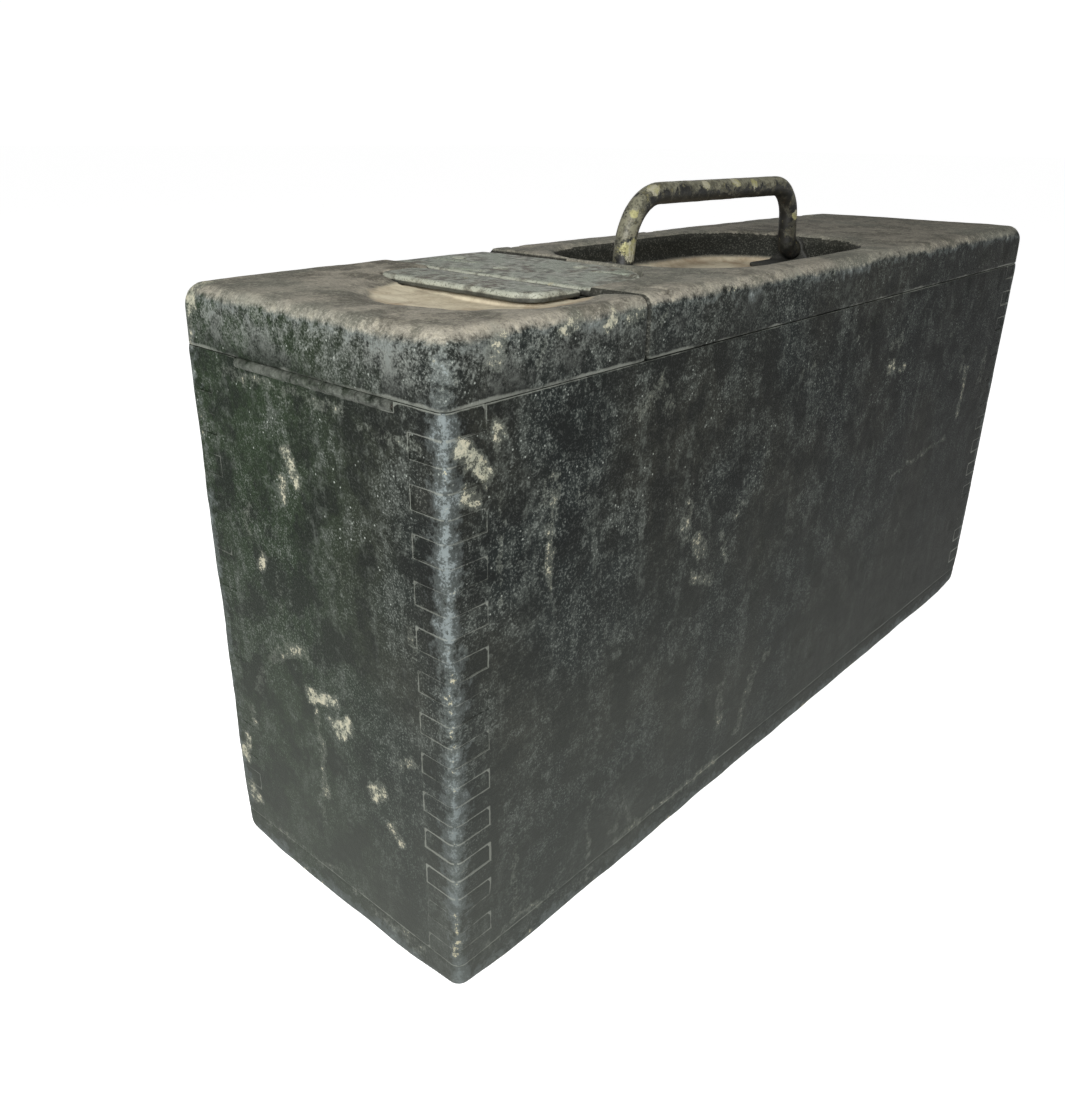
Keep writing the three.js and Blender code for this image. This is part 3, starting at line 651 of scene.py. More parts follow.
def bottom_piece():
    """The bottom board, worn round below."""
    xs, ys = graded(HALF_L, END_T, 2 * COARSE), graded(HALF_W, LONG_T, 2 * COARSE)
    zs = steps(0, bottom_high[2], 0.9 * MM)
    filled = np.ones((len(xs) - 1, len(ys) - 1, len(zs) - 1), bool)
    vertices, quads = cell_surface(xs, ys, zs, filled)
    on_top = vertices[:, 2] > bottom_high[2] - ON_FACE
    worn = wear(vertices, 0.2 * MM * on_top)
    piece = mesh_object("bottom_board", worn, quads, "case", "painted_wood", "bottom_board")
    piece.data.set_sharp_from_angle(angle=math.radians(40))
    depth = np.minimum(HALF_L - np.abs(vertices[:, 0]), HALF_W - np.abs(vertices[:, 1]))
    paint_attributes(piece, vertices, seam=on_top & (depth < ON_FACE),
                     inside=on_top & (depth > 2 * MM))
    return piece


# ---- the top board, the lid and the wood under them ----

keeper_low, keeper_high = corners("keeper_plate")
lever_low, lever_high = corners("thumb_lever")
pivot_low, pivot_high = corners("lever_pin")
PIVOT_X, PIVOT_Z = (pivot_low[0] + pivot_high[0]) / 2, (pivot_low[2] + pivot_high[2]) / 2
KEEPER_CORNER_R = 30 * MM
LEVER_RADII = np.array([9, 2, 2, 6]) * MM
FAR = 1.0
UNDER_LEVER = 2.5 * MM
CATCH_POCKET_Z = (187.5 * MM, 195.5 * MM)
STRIKE_SEAT_Z = (193.2 * MM, 201.3 * MM)
SPLIT_EASE = 2.2 * MM
plug_names = [n for n in frame["nodes"] if n.startswith("top_plug_")]
plug_middles = [(corners(n)[0] + corners(n)[1]) / 2 for n in plug_names]
PLUG_R = 4.6 * MM


def keeper_outline(x, y, grow=0.0):
    """Distance in plan from the keeper plate, which runs out past the rear edge."""
    low, high = (keeper_low[0], keeper_low[1] - grow), (keeper_high[0] + grow, FAR)
    return rounded_rect(x, y, low, high, (0, KEEPER_CORNER_R, 0, 0))


def lever_outline(x, y, grow=0.0):
    """Distance in plan from the lever's plate."""
    return rounded_rect(x, y, lever_low[:2] - grow, lever_high[:2] + grow, LEVER_RADII)


def plug_holes(p):
    """Distance from the round holes over the screws."""
    return np.min([rod(p, 2, m[:2], PLUG_R, HEIGHT - 4.3 * MM, FAR) for m in plug_middles], axis=0)


def top_skin(p):
    """Distance from the worn form above the walls, with its lower edge eased."""
    return smooth_max(-case_depth(p), SEAM_TOP_Z - 0.1 * MM - p[:, 2], 0.6 * MM)


def fixed_top_field(p):
    x, y, z = p.T
    board = smooth_max(top_skin(p), top_low[0] - x, SPLIT_EASE)
    uneven = 0.6 * MM * noise(p, 22 * MM, 2)
    recess = smooth_max(recess_plan(p) + uneven, RECESS_FLOOR - z, 8 * MM)
    board = less(board, recess, ease=5.5 * MM)
    groove = block(p, (GROOVE_X[0], GROOVE_START_Y, HEIGHT - 3 * MM), (GROOVE_X[1], FAR, FAR))
    keeper_floor = keeper_low[2] - GAP - z
    keeper = np.maximum(keeper_outline(x, y, GAP), keeper_floor)
    pocket = block(p, (-FAR, -7 * MM, CATCH_POCKET_Z[0]),
                   (top_low[0] + 4 * MM, 7 * MM, CATCH_POCKET_Z[1]))
    strike = block(p, (-FAR, -14.3 * MM, STRIKE_SEAT_Z[0]),
                   (top_low[0] + 1.5 * MM, 14.3 * MM, STRIKE_SEAT_Z[1]))
    return less(board, groove, keeper, pocket, strike, plug_holes(p))


def lid_field(p):
    x, y, z = p.T
    end = lid_high[0]
    board = smooth_max(top_skin(p), x - end, SPLIT_EASE)
    inside = (p - SCOOP_CENTRE) / SCOOP_RADII
    scoop = (np.linalg.norm(inside, axis=1) - 1) * SCOOP_RADII[2]
    scoop = smooth_max(scoop, -UNDER_LEVER - lever_outline(x, y), 1.5 * MM)
    board = less(board, scoop + 0.25 * MM * other_noise(p, 7 * MM, 2), ease=2.2 * MM)
    floor = HEIGHT - 3.3 * MM
    drop = np.where(x > PIVOT_X + 1.5 * MM, 1.8 * MM, np.where(x > PIVOT_X - 0.7 * MM, 0.6 * MM, 0))
    pocket = np.maximum(lever_outline(x, y, GAP), floor - drop - z)
    past_lever = np.maximum(np.maximum(x - FAR, PIVOT_X + 1.5 * MM - x),
                            np.abs(y + 0.5 * MM) - 34.8 * MM)
    mouth = np.maximum(past_lever, floor - 1.8 * MM - z)
    slots = [block(p, (PIVOT_X - 2.9 * MM, side * 20 * MM - 1.8 * MM, 196.3 * MM),
                   (FAR, side * 20 * MM + 1.8 * MM, FAR)) for side in (-1, 1)]
    tail = block(p, (-139 * MM, -8 * MM, 0), (FAR, 8 * MM, FAR))
    pin = rod(p, 1, (PIVOT_X, PIVOT_Z), 1.3 * MM, pivot_low[1] - GAP, pivot_high[1] + GAP)
    return less(board, pocket, mouth, tail, pin, *slots)


def board_from_field(name, field_of, low, high, step, body):
    """A board of the top, carved from a field."""
    piece, points = net_piece(name, field_of, low, high, step, body, "worn_top_wood", name)
    piece.data.set_sharp_from_angle(angle=math.radians(50))
    low_edge = np.clip(1.3 - (points[:, 2] - SEAM_TOP_Z) / (2.4 * MM), 0, 1)
    low_edge *= 0.92 + 0.34 * noise(points, 16 * MM, 3)
    depth = np.minimum(HALF_L - np.abs(points[:, 0]), HALF_W - np.abs(points[:, 1]))
    paint_attributes(piece, points, seam=low_edge * (depth < 3 * MM),
                     inside=(points[:, 2] < top_low[2] + 0.4 * MM) & (depth > 4 * MM))
    return piece


def plug_field(middle):
    """The field of one plug, its top crowned a little."""
    def field(p):
        crown = 0.25 * MM * np.hypot(*(p[:, :2] - middle[:2]).T) / PLUG_R
        body = rod(p, 2, middle[:2], PLUG_R, HEIGHT - 4.0 * MM, HEIGHT)
        return smooth_max(body, -case_depth(p) + 0.1 * MM + crown, 0.8 * MM)
    return field


def make_batten(name, body):
    """A plain strip of wood with eased edges and a slightly uneven face."""
    low, high = corners(name)
    def field(p):
        return block(p, low, high, 1.2 * MM) + 0.12 * MM * (1 + noise(p, 12 * MM, 2))
    net_piece(name, field, low, high, 0.9 * MM, body, "bare_wood", name)


# ---- steel ----


# Cracks in the paint and scale on the keeper plate, from place to place in plan, in mm.
KEEPER_CRACKS = [((-108, 49), (-105, 33)), ((-121, 28), (-119, 15)), ((-96, -34), (-90, -22)),
                 ((-90, -22), (-93, -12))]


def keeper_field(p):
    x, y, z = p.T
    ragged = 0.5 * MM * (1 + other_noise(p * (1, 1, 0), 8 * MM, 3))
    outline = np.maximum(keeper_outline(x, y) + 0.3 * ragged, keeper_low[0] + ragged - x)
    plate = smooth_max(outline, z - keeper_high[2], 1.2 * MM)
    plate = np.maximum(plate, keeper_low[2] - z)
    plate = smooth_max(plate, 0.3 * MM - case_depth(p), 1.2 * MM)
    plate = plate + 0.10 * MM * (1 + noise(p, 10 * MM, 2))
    cracks = [crack(p, ends, 0.9 * MM, 2 * MM) for ends in KEEPER_CRACKS]
    return less(plate, *cracks, ease=0.8 * MM)


BOSS_R = 2.6 * MM
EAR_Y = 20
# Under the lever's plate, the tail and an ear at each side: middle y, half width and half thickness
# in mm, then the lowest z and the ease of its edges.
LEVER_ARMS = [(0, 6, 1.5, 188.5 * MM, 0.4 * MM), (-EAR_Y, 1.5, 2.6, PIVOT_Z, 0),
              (EAR_Y, 1.5, 2.6, PIVOT_Z, 0)]


def lever_field(p):
    x, y, z = p.T
    bottom = HEIGHT - 3 * MM
    dent = 0.16 * MM * (1 + other_noise(p, 9 * MM, 3))
    worn_end = 0.9 * MM * np.clip((x + 135 * MM) / (8 * MM), 0, 1)
    ragged = 0.3 * MM * (1 + noise(p * (1, 1, 0), 7 * MM, 3))
    plate = smooth_max(lever_outline(x, y) + ragged, z - HEIGHT + dent + worn_end, 1.4 * MM)
    plate = np.maximum(plate, bottom - z)
    for middle, half_y, half_x, low_z, ease in LEVER_ARMS:
        start, end, half_x = (middle - half_y) * MM, (middle + half_y) * MM, half_x * MM
        arm = block(p, (PIVOT_X - half_x, start, low_z),
                    (PIVOT_X + half_x, end, bottom + 1 * MM), ease)
        for part in (rod(p, 1, (PIVOT_X, PIVOT_Z), BOSS_R, start, end), arm):
            plate = smooth_min(plate, part, 0.8 * MM)
    return less(plate, rod(p, 1, (PIVOT_X, PIVOT_Z), 1.22 * MM, -25 * MM, 25 * MM))


def steel_piece(name, field_of, step, body, slot):
    """A steel piece from a field, over the box of its CAD node."""
    piece, points = net_piece(name, field_of, *corners(name), step, body, slot, name)
    piece.data.set_sharp_from_angle(angle=math.radians(45))
    if name.startswith("hinge_leaf"):
        paint_attributes(piece, points, seam=0.8)
        return
    outline_of = keeper_outline if name == "keeper_plate" else lever_outline
    outline = outline_of(points[:, 0], points[:, 1])
    # A pale band along the plate's outline: worn paint and a painted highlight on its edge.
    add_attribute(piece, "rim", np.clip(1 + outline / (3 * MM), 0, 1))
    add_attribute(piece, "marks", mark_share(points))
    add_attribute(piece, "dust", dust_share(points) * (recess_plan(points) >= 0))
    # Painted shade with dirt: steel below the top face, the plate sides and the parts down in the recess, is
    # darkened.
    add_attribute(piece, "grime", np.clip((HEIGHT - 1.2 * MM - points[:, 2]) / (1 * MM), 0, 1))


def half_plane(u, v, start, end):
    """Distance to the right of the line from start to end in a plane."""
    du, dv = end[0] - start[0], end[1] - start[1]
    return ((u - start[0]) * dv - (v - start[1]) * du) / math.hypot(du, dv)


ROD_R = 4 * MM
HANDLE_Z = 198.5 * MM


def bracket_field(end):
    """The field of one handle bracket: a base plate with a tapered ear."""
    low, high = corners("handle_bracket_left" if end < 0 else "handle_bracket_right")
    t, ear_t, half, ear_r = np.array((2, 3, 10, 5.7)) * MM

    def field(p):
        x, y, z = p.T
        base = block(p, low, (high[0], high[1], low[2] + t), 0.7 * MM)
        slope = half_plane(np.abs(y), z, (half, low[2] + t), (ear_r, HANDLE_Z))
        flank = np.maximum(np.maximum(slope, z - HANDLE_Z), low[2] - z)
        outline = np.minimum(flank, np.hypot(y, z - HANDLE_Z) - ear_r)
        outer = high[0] if end > 0 else low[0]
        along = np.abs(x - outer + end * ear_t / 2) - ear_t / 2
        ear = smooth_max(outline, along, 1.2 * MM)
        whole = smooth_min(base, ear, 2.2 * MM) + 0.05 * MM * (1 + noise(p, 5 * MM, 2))
        whole = np.maximum(np.maximum(whole, low[2] - z), end * (x - outer))
        return less(whole, rod(p, 0, (0, HANDLE_Z), ROD_R + 0.25 * MM, -FAR, FAR))
    return field


def screw_field(head, direction, size, slot_turn):
    """The field of a slotted screw: its head's face at head, its shank along direction."""
    radius, head_r, head_h, length = (s * MM for s in size)
    axis = Vector(direction).normalized()
    side = axis.orthogonal().normalized()
    other = axis.cross(side)
    turn = math.radians(slot_turn)
    across = np.array(side * math.cos(turn) + other * math.sin(turn))
    axis, side, other = (np.array(v) for v in (axis, side, other))

    def field(p):
        q = p - head
        t = q @ axis
        u, v = q @ side, q @ other
        around = np.hypot(u, v)
        cone = head_r - np.clip((t - 0.3 * MM) / head_h, 0, 1) * (head_r - radius)
        thread = 0.12 * radius * (1 + np.cos(2 * np.pi * t / (1.1 * MM) - np.arctan2(v, u)))
        shank = radius - thread * (t > head_h * 1.5) - np.clip(t - length + 3 * radius, 0, 1) / 3
        body = around - np.where(t < head_h, cone, shank)
        crown = 0.12 * MM * (around / head_r) ** 2 - t
        whole = smooth_max(np.maximum(body, t - length), crown, 0.3 * MM)
        slot = np.maximum(np.abs(q @ across) - 0.42 * MM, t - 0.62 * head_h)
        return less(whole, slot)
    return field


def screws(prefix, direction, size, step, body, slot):
    """A visible screw for each CAD node with that prefix."""
    random = np.random.default_rng(len(prefix))
    for node in sorted(n for n in frame["nodes"] if n.startswith(prefix)):
        low, high = corners(node)
        axis = np.array(direction, float)
        middle = (low + high) / 2
        head = middle - axis * (np.abs(axis) @ (high - low)) / 2
        field = screw_field(head, direction, size, random.uniform(0, 180))
        steel_piece(node, field, step, body, slot)


def hinge_field(of_box):
    """The field of one hinge leaf with its knuckles."""
    leaf_end = corners("hinge_leaf_box" if of_box else "hinge_leaf_lid")[1][0]
    x0, z0, r = -205.2 * MM, 184.5 * MM, 1.5 * MM
    top = z0 - 0.5 * MM if of_box else z0 + 1.3 * MM
    bottom = top - 1 * MM
    y0, knuckle = -40 * MM, 14 * MM

    def field(p):
        leaf = block(p, (x0 + r + GAP, y0, bottom), (leaf_end, y0 + 5 * knuckle, top), 0.25 * MM)
        for k in range(0 if of_box else 1, 5, 2):
            start, end = y0 + k * knuckle + 0.15 * MM, y0 + (k + 1) * knuckle - 0.15 * MM
            leaf = np.minimum(leaf, rod(p, 1, (x0, z0), r, start, end))
            leaf = np.minimum(leaf, block(p, (x0, start, bottom), (x0 + r + 1 * MM, end, top)))
        return less(leaf, rod(p, 1, (x0, z0), 0.82 * MM, -FAR, FAR))
    return field


def tube(rings):
    """Vertices and quads of a closed tube through rings of points, with flat ends."""
    count, n = rings.shape[:2]
    i = np.arange(n)
    j = (i + 1) % n
    quads = [np.stack([i, j, j + n, i + n], axis=1) + k * n for k in range(count - 1)]
    half = np.arange(n // 2 - 1)
    cap = np.stack([half, half + 1, n - 2 - half, n - 1 - half], axis=1)
    quads += [cap[:, ::-1], cap + (count - 1) * n]
    return rings.reshape(-1, 3), np.concatenate(quads)


def bent_line(points, radii, step):
    """Points along a line in XZ with its corners turned to those radii."""
    points = [np.array(q, float) for q in points]
    path = [points[0]]
    for before, corner, after, r in zip(points, points[1:], points[2:], radii):
        back = (before - corner) / np.linalg.norm(before - corner)
        onward = (after - corner) / np.linalg.norm(after - corner)
        half = math.acos(back @ onward) / 2
        centre = corner + (back + onward) / np.linalg.norm(back + onward) * r / math.sin(half)
        start = corner + back * r / math.tan(half) - centre
        end = corner + onward * r / math.tan(half) - centre
        sweep = math.pi - 2 * half
        for s in np.linspace(0, 1, 17):
            share = (math.sin((1 - s) * sweep), math.sin(s * sweep))
            path.append(centre + (start * share[0] + end * share[1]) / math.sin(sweep))
    path = np.array(path + [points[-1]])
    run = np.append(0, np.cumsum(np.linalg.norm(np.diff(path, axis=0), axis=1)))
    stations = np.linspace(0, run[-1], int(run[-1] / step))
    return np.stack([np.interp(stations, run, path[:, i]) for i in (0, 1)], axis=1)


def swept(path, section):
    """Rings of a section (across, along Y) swept along a path in XZ."""
    tangent = np.gradient(path, axis=0)
    tangent /= np.linalg.norm(tangent, axis=1)[:, None]
    normal = np.stack([-tangent[:, 1], tangent[:, 0]], axis=1)
    across, level = section
    rings = np.empty((len(path), len(across), 3))
    rings[..., 0] = path[:, None, 0] + normal[:, None, 0] * across
    rings[..., 2] = path[:, None, 1] + normal[:, None, 1] * across
    rings[..., 1] = level
    return rings


# Where the handle's paint is gone: x, y, z and reach, in mm.
HANDLE_CHIPS = [(-61, -3, 208, 9), (-60, -3, 221, 5), (60, -4, 214, 5), (-48, -3, 229, 6),
                (8, -2, 229, 6), (22, -3, 228, 5), (-14, -3, 229, 5), (61, 3, 207, 5)]


def handle_piece():
    """The bail: one bent rod, a little uneven under its paint."""
    stub, foot, elbow, bar = 71 * MM, 61.8 * MM, 58.5 * MM, 226.5 * MM
    corners_xz = [(-stub, HANDLE_Z), (-foot, HANDLE_Z), (-elbow, bar), (elbow, bar),
                  (foot, HANDLE_Z), (stub, HANDLE_Z)]
    path = bent_line(corners_xz, np.array([5, 20, 15, 5]) * MM, 0.8 * MM)
    around = np.linspace(0, 2 * np.pi, 40, endpoint=False)
    rings = swept(path, (ROD_R * np.cos(around), ROD_R * np.sin(around)))
    centre = rings.mean(axis=1, keepdims=True)
    flat = rings.reshape(-1, 3)
    uneven = -0.07 * MM * (1 + noise(flat, 9 * MM, 2)) - 0.03 * MM * other_noise(flat, 2 * MM, 2)
    outward = (rings - centre) / ROD_R
    rings = rings + outward * uneven.reshape(rings.shape[:2])[..., None]
    vertices, quads = tube(rings)
    piece = mesh_object("handle_bail", vertices, quads, "handle", "handle_steel", "handle_bail")
    piece.data.set_sharp_from_angle(angle=math.radians(50))
    chipped = np.zeros(len(vertices))
    for x, y, z, reach in HANDLE_CHIPS:
        away = np.linalg.norm(vertices - np.array((x, y, z)) * MM, axis=1)
        chipped = np.maximum(chipped, 1 - away / (reach * MM))
    add_attribute(piece, "marks", chipped)
    # How far each point faces up: the shader paints the upper side lighter, painted light on the bar's top.
    add_attribute(piece, "upper", outward[..., 2].ravel())
    # Painted shadow: the right leg, past x = 50 mm, is painted darker.
    add_attribute(piece, "dark", np.clip((vertices[:, 0] - 50 * MM) / (12 * MM), 0, 1))


def spring_piece(name, points, thickness, half_width, body):
    """A strip of leaf spring through points in XZ, its bends softened."""
    points = np.array(points) * MM
    radii = [0.8 * MM] * (len(points) - 2)
    path = bent_line(points, radii, 0.25 * MM)
    half, width, ease = thickness * MM / 2, half_width * MM, 0.15 * MM
    across = np.array([-half + ease, half - ease, half, half, half - ease, -half + ease, -half, -half])
    level = np.array([-width, -width, ease - width, width - ease, width, width, width - ease,
                      ease - width])
    vertices, quads = tube(swept(path, (across, level)))
    return mesh_object(name, vertices, quads, body, "bare_steel", name)


def pin_piece(name, body, step):
    """A plain round pin along Y."""
    low, high = corners(name)
    centre, radius = (low + high)[[0, 2]] / 2, (high[2] - low[2]) / 2
    steel_piece(name, lambda p: rod(p, 1, centre, radius, low[1], high[1]), step, body, "bare_steel")


def strike_field(p):
    low, high = corners("strike_plate")
    plate = block(p, low, high, 0.3 * MM)
    holes = [rod(p, 0, (side * 10 * MM, 197.5 * MM), 1.6 * MM, -FAR, FAR) for side in (-1, 1)]
    return less(plate, *holes)


# ---- making the pieces ----

wall("front_wall", True, -1)
wall("rear_wall", True, 1)
wall("hinge_end_wall", False, -1)
wall("far_end_wall", False, 1)
bottom_piece()
board_from_field("fixed_top", fixed_top_field, top_low, top_high, 1.1 * MM, "case")
board_from_field("lid_board", lid_field, lid_low, lid_high, 0.8 * MM, "lid")
for plug_name, plug_middle in zip(plug_names, plug_middles):
    plug_low, plug_high = corners(plug_name)
    plug, plug_points = net_piece(plug_name, plug_field(plug_middle), plug_low, plug_high,
                                  0.5 * MM, "case", "worn_top_wood", plug_name)
    rim = np.hypot(*(plug_points[:, :2] - plug_middle[:2]).T) > PLUG_R - 0.6 * MM
    paint_attributes(plug, plug_points, seam=rim)
make_batten("handle_batten", "case")
make_batten("lid_batten", "lid")
steel_piece("keeper_plate", keeper_field, 0.6 * MM, "case", "painted_steel")
steel_piece("thumb_lever", lever_field, 0.5 * MM, "lever", "painted_steel")
steel_piece("strike_plate", strike_field, 0.3 * MM, "case", "bare_steel")
steel_piece("handle_bracket_left", bracket_field(-1), 0.45 * MM, "case", "painted_steel")
steel_piece("handle_bracket_right", bracket_field(1), 0.45 * MM, "case", "painted_steel")
steel_piece("hinge_leaf_box", hinge_field(True), 0.3 * MM, "case", "painted_steel")
steel_piece("hinge_leaf_lid", hinge_field(False), 0.3 * MM, "lid", "painted_steel")
pin_piece("hinge_pin", "case", 0.25 * MM)
pin_piece("lever_pin", "lid", 0.3 * MM)
handle_piece()
spring_piece("catch_spring", [(-127.7, 196.4), (-127.7, 190.2), (-126.9, 188.9), (-123.9, 189.4),
                              (-122.3, 190.9), (-123.7, 192.3), (-125.9, 192.9)], 0.8, 5, "lever")
spring_piece("lever_spring", [(-138.4, 198.5), (-138.4, 190.4), (-137.0, 188.9), (-135.0, 189.2),
                              (-132.0, 193.0), (-132.6, 195.4)], 0.6, 4,
             ("lid", "lever", (-136.5 * MM, 0, 190 * MM), (-132.2 * MM, 0, 192.5 * MM)))
screws("keeper_screw_", (0, 0, -1), (1.3, 2.8, 1.6, 14), 0.3 * MM, "case", "painted_steel")
screws("bracket_bolt_", (0, 0, -1), (2, 3.6, 1.8, 25), 0.35 * MM, "case", "bare_steel")
screws("strike_screw_", (1, 0, 0), (1.1, 2, 0.9, 12), 0.25 * MM, "case", "bare_steel")
screws("box_leaf_screw_", (0, 0, -1), (1.1, 2.2, 0.9, 13), 0.25 * MM, "case", "bare_steel")
screws("lid_leaf_screw_", (0, 0, 1), (1.1, 2.2, 0.9, 13), 0.25 * MM, "lid", "bare_steel")
screws("bottom_screw_", (0, 0, 1), (1.5, 3.2, 2.4, 36), 0.35 * MM, "case", "bare_steel")
screws("lid_batten_screw_", (0, 0, 1), (1.4, 2.8, 1.8, 20), 0.3 * MM, "lid", "bare_steel")
for nut in (bpy.data.objects[n] for n in frame["nodes"] if n.startswith("bracket_nut_")):
    bevel = nut.modifiers.new("eased", "BEVEL")
    bevel.width, bevel.segments, bevel.limit_method = 0.35 * MM, 3, "ANGLE"


# ---- materials ----


def srgb(*rgb):
    """A linear colour from its 0-255 screen values."""
    return tuple(((c / 255 + 0.055) / 1.055) ** 2.4 if c > 10 else c / 3294 for c in rgb) + (1,)


class Wire:
    """A value or colour inside a shader; arithmetic on it adds the nodes that do it."""

    def __init__(self, shader, socket):
        self.shader, self.socket = shader, socket

    def maths(self, operation, other):
        node = self.shader.nodes.new("ShaderNodeMath")
        node.operation = operation
        self.shader.put(node.inputs[0], self)
        self.shader.put(node.inputs[1], other)
        return Wire(self.shader, node.outputs[0])

    def __add__(self, other):
        return self.maths("ADD", other)

    def __sub__(self, other):
        return self.maths("SUBTRACT", other)

    def __mul__(self, other):
        return self.maths("MULTIPLY", other)

    __radd__, __rmul__ = __add__, __mul__

    def step(self, low, high):
        """0 below low and 1 above high, smooth between; low may be the higher."""
        swap = low > high
        ends = {"From Min": min(low, high), "From Max": max(low, high),
                "To Min": swap, "To Max": not swap}
        node = self.shader.nodes.new("ShaderNodeMapRange")
        node.interpolation_type = "SMOOTHSTEP"
        self.shader.put(node.inputs["Value"], self)
        for name, value in ends.items():
            node.inputs[name].default_value = float(value)
        return Wire(self.shader, node.outputs["Result"])


class Shader:
    """A node material, painted coat over coat."""

    def __init__(self, name):
        self.material = bpy.data.materials.new(name)
        self.material.use_nodes = True
        self.nodes = self.material.node_tree.nodes
        self.surface = self.nodes["Principled BSDF"].inputs
        self.place = Wire(self, self.nodes.new("ShaderNodeTexCoord").outputs["Object"])

    def put(self, socket, value):
        """Links a socket to a wire, or sets it to a plain value."""
        if isinstance(value, Wire):
            self.material.node_tree.links.new(value.socket, socket)
        else:
            socket.default_value = value

    def stretched(self, axis, scale):
        """Object coordinates scaled along one axis, for streaks."""
        node = self.nodes.new("ShaderNodeMapping")
        node.inputs["Scale"].default_value["xyz".index(axis)] = scale
        self.put(node.inputs["Vector"], self.place)
        return Wire(self, node.outputs["Vector"])

    def noise(self, size, detail, rough=0.55, vector=None):
        """Noise from 0 to 1 with features of that size in millimetres."""
        node = self.nodes.new("ShaderNodeTexNoise")
        for name, value in (("Vector", vector or self.place), ("Scale", 1000 / size),
                            ("Detail", detail), ("Roughness", rough)):
            self.put(node.inputs[name], value)
        return Wire(self, node.outputs["Fac"])

    def dots(self, size):
        """Distance to scattered points, in cells of that size in millimetres."""
        node = self.nodes.new("ShaderNodeTexVoronoi")
        self.put(node.inputs["Vector"], self.place)
        node.inputs["Scale"].default_value = 1000 / size
        return Wire(self, node.outputs["Distance"])

    def vertices(self, names):
        """The numbers stored on the vertices under those names."""
        for name in names.split():
            node = self.nodes.new("ShaderNodeAttribute")
            node.attribute_name = name
            yield Wire(self, node.outputs["Fac"])

    def mix(self, share, under, over):
        """One colour over another by that share."""
        node = self.nodes.new("ShaderNodeMix")
        node.data_type = "RGBA"
        for place, value in ((0, share), (6, under), (7, over)):
            self.put(node.inputs[place], value)
        return Wire(self, node.outputs[2])

    def coat(self, under, share, *rgb):
        """A screen colour over another colour by that share."""
        return self.mix(share, under, srgb(*rgb))

    def finish(self, colour, roughness, relief, depth, metallic=0.0):
        """Wires the surface; relief times depth, in millimetres, is its height."""
        bump = self.nodes.new("ShaderNodeBump")
        bump.inputs["Distance"].default_value = depth * MM
        self.put(bump.inputs["Height"], relief)
        for name, value in (("Base Color", colour), ("Roughness", roughness),
                            ("Metallic", metallic), ("Normal", Wire(self, bump.outputs["Normal"]))):
            self.put(self.surface[name], value)
        return self.material


GRAIN_STRETCH = 0.08
SMEAR_STRETCH = 0.10


def wood_colours(s, along):
    """Bare wood and the streaks of its grain, which runs along x, y or z."""
    grain = s.stretched(along, GRAIN_STRETCH)
    streaks = s.noise(1.6, 5, 0.6, grain)
    wood = s.mix(streaks.step(0.32, 0.7), srgb(134, 108, 76), srgb(96, 74, 50))
    return s.coat(wood, s.noise(18, 3, 0.5, grain).step(0.45, 0.75) * 0.55, 70, 58, 44), streaks


